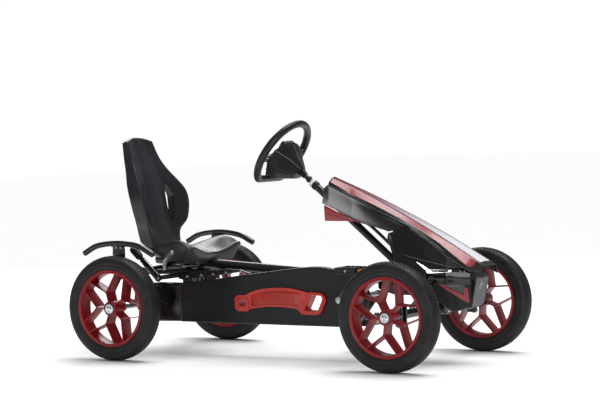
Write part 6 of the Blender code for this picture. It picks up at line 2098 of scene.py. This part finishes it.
def sprockets():
    """The chainring, the drive sprocket, their bosses and the sleeve round the crank."""
    windows = []
    for i in range(5):
        a = TAU * i / 5
        windows.append(ring_points((CRANK[0] + 0.04 * math.cos(a), CRANK[1] + 0.04 * math.sin(a)), 0.014,
                                   28))
    disc = plate(gear(CRANK, CHAINRING_TEETH), CHAIN_Y - 0.0018, CHAIN_Y + 0.0018,
                 [ring_points(CRANK, 0.0115, 32), *windows])
    solid("chainring_disc", "crank_body", "chain", disc, width=0.0004,
          **stands_for("chainring", "satin_steel"), segments=1)
    boss = [(-0.003, 0.0118), (-0.003, 0.0175), (-0.0024, 0.0182), (0.0024, 0.0182), (0.003, 0.0175),
            (0.003, 0.0118)]
    boss = turned(boss, (CRANK[0], CHAIN_Y, CRANK[1]), ACROSS, 36, closed=True)
    solid("chainring_boss", "crank_body", "steel", boss, **stands_for("chainring", "satin_steel"))
    disc = plate(gear(AXLE, SPROCKET_TEETH), CHAIN_Y - 0.0018, CHAIN_Y + 0.0018,
                 [ring_points(AXLE, 0.0105, 32)])
    solid("drive_sprocket_disc", "rear_axle_body", "chain", disc, width=0.0004,
          **stands_for("drive_sprocket", "satin_steel"), segments=1)
    boss = [(-0.0036, 0.0108), (-0.0036, 0.0185), (-0.0028, 0.0195), (0.0028, 0.0195), (0.0036, 0.0185),
            (0.0036, 0.0108)]
    boss = turned(boss, (AXLE[0], CHAIN_Y, AXLE[1]), ACROSS, 36, closed=True)
    solid("drive_sprocket_boss", "rear_axle_body", "steel", boss,
          **stands_for("drive_sprocket", "satin_steel"))
    bush = [(-0.0355, 0.0118), (-0.0355, 0.015), (-0.0345, 0.016), (-0.02, 0.016), (-0.0195, 0.0152),
            (0.0195, 0.0152)]
    bush += [(0.02, 0.016), (0.0345, 0.016), (0.0355, 0.015), (0.0355, 0.0118)]
    solid("crank_bush_sleeve", "frame", "nylon", turned(bush, (CRANK[0], 0, CRANK[1]), ACROSS, 40,
                                                        closed=True),
          **stands_for("crank_bush", "white_nylon"))


def chain_path():
    """The chain's closed path round both sprockets."""
    front = CHAINRING_TEETH * PITCH / TAU + 0.0062
    rear = SPROCKET_TEETH * PITCH / TAU + 0.0062
    span = math.dist(CRANK, AXLE)
    tilt = math.degrees(math.atan2(CRANK[1] - AXLE[1], CRANK[0] - AXLE[0]))
    lean = math.degrees(math.asin((front - rear) / span))
    loop = arc(CRANK, front, tilt - 90 - lean, tilt + 90 + lean, 90) + arc(AXLE, rear, tilt + 90 + lean,
                                                                           tilt + 270 - lean, 60)
    return [Vector(p) for p in loop]


def chain():
    """Plates and rollers, one pair for each pitch."""
    loop = chain_path()
    lengths = [0.0]
    for a, b in zip(loop, loop[1:] + loop[:1]):
        lengths.append(lengths[-1] + (b - a).length)
    count = 2 * round(lengths[-1] / PITCH / 2)
    closed = loop + loop[:1]
    pins = []
    for i in range(count):
        at = lengths[-1] * i / count
        x = float(np.interp(at, lengths, [p.x for p in closed]))
        z = float(np.interp(at, lengths, [p.y for p in closed]))
        pins.append(Vector((x, z)))
    links, rollers = Shape(), Shape()
    for i, start in enumerate(pins):
        end = pins[(i + 1) % count]
        way = (end - start).normalized()
        turn = math.degrees(math.atan2(way.y, way.x))
        wide = 0.0034
        side = Vector((-way.y, way.x))
        waist = [(start + end) / 2 - side * 0.0021, (start + end) / 2 + side * 0.0021]
        outline = arc(end, wide, turn - 90, turn + 90, 7) + [tuple(waist[1])] + arc(start, wide, turn + 90,
                                                                                    turn + 270,
                                                                                    7) + [tuple(waist[0])]
        for sign in (-1, 1):
            at = 0.0026 if i % 2 else 0.0036
            low, high = sorted((CHAIN_Y + sign * at, CHAIN_Y + sign * (at + 0.0009)))
            links.add(*plate(outline, low, high))
        profile = [(-0.0047, 0.0012), (-0.0047, 0.0016), (-0.0024, 0.0016), (-0.0024, 0.0028),
                   (0.0024, 0.0028), (0.0024, 0.0016), (0.0047, 0.0016), (0.0047, 0.0012)]
        rollers.add(*turned(profile, (start.x, CHAIN_Y, start.y), ACROSS, 8))
    finish(links.object("chain_plates"), "frame", M["chain"], **stands_for("chain", "satin_steel"),
           angle=30)
    finish(rollers.object("chain_rollers"), "frame", M["steel"], **stands_for("chain", "satin_steel"),
           angle=30)


def guard_outline():
    """The outline of the guard in front of its seam."""
    top = smooth([(SEAM_X + 0.001, 0.2765), (-0.328, 0.294), (0.01, 0.34), (0.14, 0.352), (0.22, 0.344)],
                 14)
    front = arc(CRANK, 0.1045, 72, -84, 56)
    return [(SEAM_X + 0.001, 0.1265), *front[::-1], *[tuple(p) for p in top[::-1]]]


def hub_outline():
    """The outline of the rear hub cover behind the seam."""
    return [(SEAM_X - 0.001, 0.1265), (SEAM_X - 0.001, 0.2763), *arc(AXLE, 0.0765, 90, 270, 56)]


def tray(name, outline, face, holes, node_name, paint, edge=0.006):
    """A cover with a rounded edge, a rim towards the middle of the kart and holes through its face."""
    owner = dict(**stands_for(node_name, "black_plastic"))
    section = []
    for i in range(7):
        a = math.radians(90 * i / 6)
        section.append((edge * (1 - math.sin(a)), face + edge * (1 - math.cos(a))))
    section += [(0.0, RIM_Y - 0.0008), (0.0006, RIM_Y), (0.0022, RIM_Y), (0.0025, RIM_Y - 0.0008),
                (0.0025, face + edge), (edge, face + 0.0025)]
    loops = [[Vector((x, y, z)) for x, z in inset(outline, max(d, 1e-5))] for d, y in section]
    skin = Shape().add(*rings(loops, closed=True))
    skin.add(*plate(inset(outline, edge), face, face + 0.0025, holes))
    return finish(skin.object(name), "frame", M[paint], angle=28, **owner)


def raised(name, outline, low, high, holes, paint, body, owner, width=0.0012, segments=3):
    """A flat piece with holes and rounded edges, on or behind the guard."""
    return solid(name, body, paint, plate(outline, low, high, holes), width=width, segments=segments,
                 **owner)


def chain_guard():
    """The guard, the rear hub cover, the back plate and the red grip with its two hand holes."""
    grips = [rounded(FRONT_HOLE, 0.008, 5), rounded(REAR_HOLE, 0.005, 5)]
    sleeves = [rounded(inset(h, -0.003), 0.008, 5) for h in (FRONT_HOLE, REAR_HOLE)]
    axle_hole, crank_hole = ring_points(AXLE, 0.0125, 36), ring_points(CRANK, 0.014, 36)
    tray("chain_guard_cover", guard_outline(), FACE_Y, [crank_hole, *sleeves], "chain_guard", "plastic")
    tray("rear_hub_cover_shell", hub_outline(), HUB_Y, [axle_hole], "rear_hub_cover", "gloss", 0.009)
    owner = stands_for("rear_hub_cover", "black_plastic")
    panel = inset(hub_outline(), 0.014)
    loop = [(x, HUB_Y - 0.0002, z) for x, z in panel]
    solid("hub_cover_bead", "frame", "gloss", tube(loop, 0.0012, 8, closed=True), **owner)
    collar = [(0.0, 0.013), (0.0, 0.02), (0.003, 0.0188), (0.004, 0.017), (0.004, 0.013)]
    collar = turned(collar, (REAR_X, HUB_Y + 0.0004, AXLE_Z), (0, -1, 0), 40, closed=True)
    solid("hub_cover_collar", "frame", "plastic", collar, **owner)

    owner = stands_for("chain_guard", "black_plastic")
    path = [(-0.42, FACE_Y, 0.2066), (-0.216, FACE_Y, 0.2122)]
    solid("guard_step", "frame", "plastic", tube(path, 0.0009, 8), **owner)
    low = [(x, FACE_Y, 0.1415) for x in (-0.448, 0.17)]
    solid("guard_low_bead", "frame", "plastic", tube(low, 0.001, 8), **owner)
    bolts = Shape()
    bolts.place(bolt((-0.3583, FACE_Y, 0.2062), (0, -1, 0), 0.005, 0.0036))
    finish(bolts.object("guard_bolt"), "frame", M["plastic"], **owner)
    seam = [(SEAM_X + 0.0042, FACE_Y + 0.0006, z) for z in (0.133, 0.27)]
    solid("guard_seam_bead", "frame", "gloss", tube(seam, 0.0014, 8), **owner)
    collar = [(0.0, 0.015), (0.0, 0.031), (0.0022, 0.03), (0.003, 0.028), (0.003, 0.02), (0.0018, 0.019),
              (0.0018, 0.015)]
    collar = turned(collar, (CRANK[0], FACE_Y, CRANK[1]), (0, -1, 0), 48, closed=True)
    solid("guard_crank_collar", "frame", "plastic", collar, **owner)

    whole = [*guard_outline()[1:], *hub_outline()[2:]]
    owner = stands_for("chain_guard_back", "black_plastic")
    raised("guard_back_plate", whole, RIM_Y + 0.0005, RIM_Y + 0.003, [axle_hole, crank_hole, *sleeves],
           "plastic", "frame", owner, 0.0005, 1)
    ribs = []
    for a, b in (((-0.5, 0.16), (0.13, 0.15)), ((-0.5, 0.245), (0.06, 0.3))):
        ribs.append(tube([(a[0], RIM_Y + 0.0032, a[1]), (b[0], RIM_Y + 0.0032, b[1])], 0.0018, 10))
    solid("guard_back_ribs", "frame", "plastic", *ribs, **owner)
    screws = Shape()
    for x, z in ((-0.43, 0.145), (-0.25, 0.145), (0.04, 0.15), (-0.42, 0.262), (-0.18, 0.295),
                 (0.06, 0.325)):
        screws.place(bolt((x, RIM_Y + 0.0028, z), ACROSS, 0.0042, 0.003))
    finish(screws.object("guard_back_screws"), "frame", M["steel"], **owner)

    owner = stands_for("guard_grip", "red_plastic")
    front_ring = [(0.076, 0.182), (0.084, 0.1725), (0.149, 0.171), (0.169, 0.18), (0.191, 0.227),
                  (0.187, 0.243), (0.17, 0.256)]
    band_top = smooth([(0.127, 0.259), (0.112, 0.256), (0.05, 0.268), (-0.01, 0.271), (-0.087, 0.265),
                       (-0.1435, 0.25)], 5)
    rear_ring = [(-0.164, 0.2385), (-0.2, 0.238), (-0.213, 0.226), (-0.213, 0.187), (-0.201, 0.1765),
                 (-0.156, 0.1765)]
    band_low = smooth([(-0.145, 0.187), (-0.0614, 0.1975), (0.01, 0.1975), (0.064, 0.1925)], 5)
    corners = [0.004, 0.004, 0.012, 0.014, 0.014, 0.008, 0.008]
    outline = front_ring + [tuple(p) for p in band_top] + rear_ring + [tuple(p) for p in band_low]
    radii = corners + [0.001] * len(band_top) + [0.006, 0.01, 0.006, 0.006, 0.01,
                                                 0.006] + [0.001] * len(band_low)
    outline = rounded(outline, radii, 4)
    field = smooth([(-0.139, 0.237), (-0.087, 0.252), (-0.01, 0.2585), (0.05, 0.256), (0.088, 0.2495)], 6)
    low = smooth([(0.074, 0.201), (0.04, 0.2035), (0.01, 0.205), (-0.0614, 0.2045), (-0.136, 0.1965)], 6)
    field = rounded([tuple(p) for p in field] + [tuple(p) for p in low],
                    [0.004] + [0.0008] * 23 + [0.004] + [0.004] + [0.0008] * 23 + [0.004], 2)
    # The base shows through the frame as the recessed field, in the darker red that paints the recess's
    # shade.
    raised("guard_grip_base", inset(outline, 0.0006), FACE_Y - 0.0034, FACE_Y - 0.0004, grips, "deep",
           "frame", owner, 0.0005, 2)
    raised("guard_grip_frame", outline, FACE_Y - 0.008, FACE_Y - 0.003, [field, *grips], "red", "frame",
           owner, 0.0018, 4)
    for name, loop, wide in (("front", FRONT_HOLE, 0.0105), ("rear", REAR_HOLE, 0.0105)):
        outer, inner = rounded(inset(loop, -wide), 0.014, 6), rounded(inset(loop, -0.0008), 0.007, 6)
        raised(f"guard_grip_ring_{name}", outer, FACE_Y - 0.0105, FACE_Y - 0.004, [inner], "red", "frame",
               owner, 0.0026, 5)
        sleeve = [rounded(inset(loop, -0.0024), 0.008, 5), rounded(loop, 0.008, 5)]
        levels = [(sleeve[0], FACE_Y - 0.006), (sleeve[1], FACE_Y - 0.006), (sleeve[1], RIM_Y + 0.006),
                  (sleeve[0], RIM_Y + 0.006)]
        loops = [[Vector((x, y, z)) for x, z in (s if area_of(s) > 0 else s[::-1])] for s, y in levels]
        solid(f"guard_grip_sleeve_{name}", "frame", "red", rings(loops, closed=True), angle=30, **owner)
    dots = Shape()
    for i in range(7):
        for j in range(6):
            x = 0.052 + 0.0062 * i + 0.0012 * j
            z = 0.212 + 0.0062 * j + (0.0031 if i % 2 else 0.0)
            if z < 0.248:
                dots.add(*turned([(0.0, 0.00125), (0.0006, 0.0011), (0.0009, 0.0005)],
                                 (x, FACE_Y - 0.0033, z), (0, -1, 0), 10))
    finish(dots.object("guard_grip_dots"), "frame", M["dots"], **owner)


pale_red = material("pale_red_dots", (0.8, 0.26, 0.2), 0.25)
M["dots"] = grain(uneven(pale_red, (0.74, 0.2, 0.15), (0.86, 0.34, 0.27), 300, (0.2, 0.35), 300), 1500,
                  0.05, 0.0002)
# Painted shade: the grip's recessed field is a darker red than its raised frame, standing in for the shade
# inside the recess.
recess_shade_red = material("recess_shade_red_field", (0.42, 0.022, 0.01), 0.3)
M["deep"] = grain(uneven(recess_shade_red, (0.36, 0.016, 0.007), (0.46, 0.028, 0.013), 12, (0.22, 0.36), 60), 1500,
                  0.06, 0.0002)
sprockets()
chain()
chain_guard()
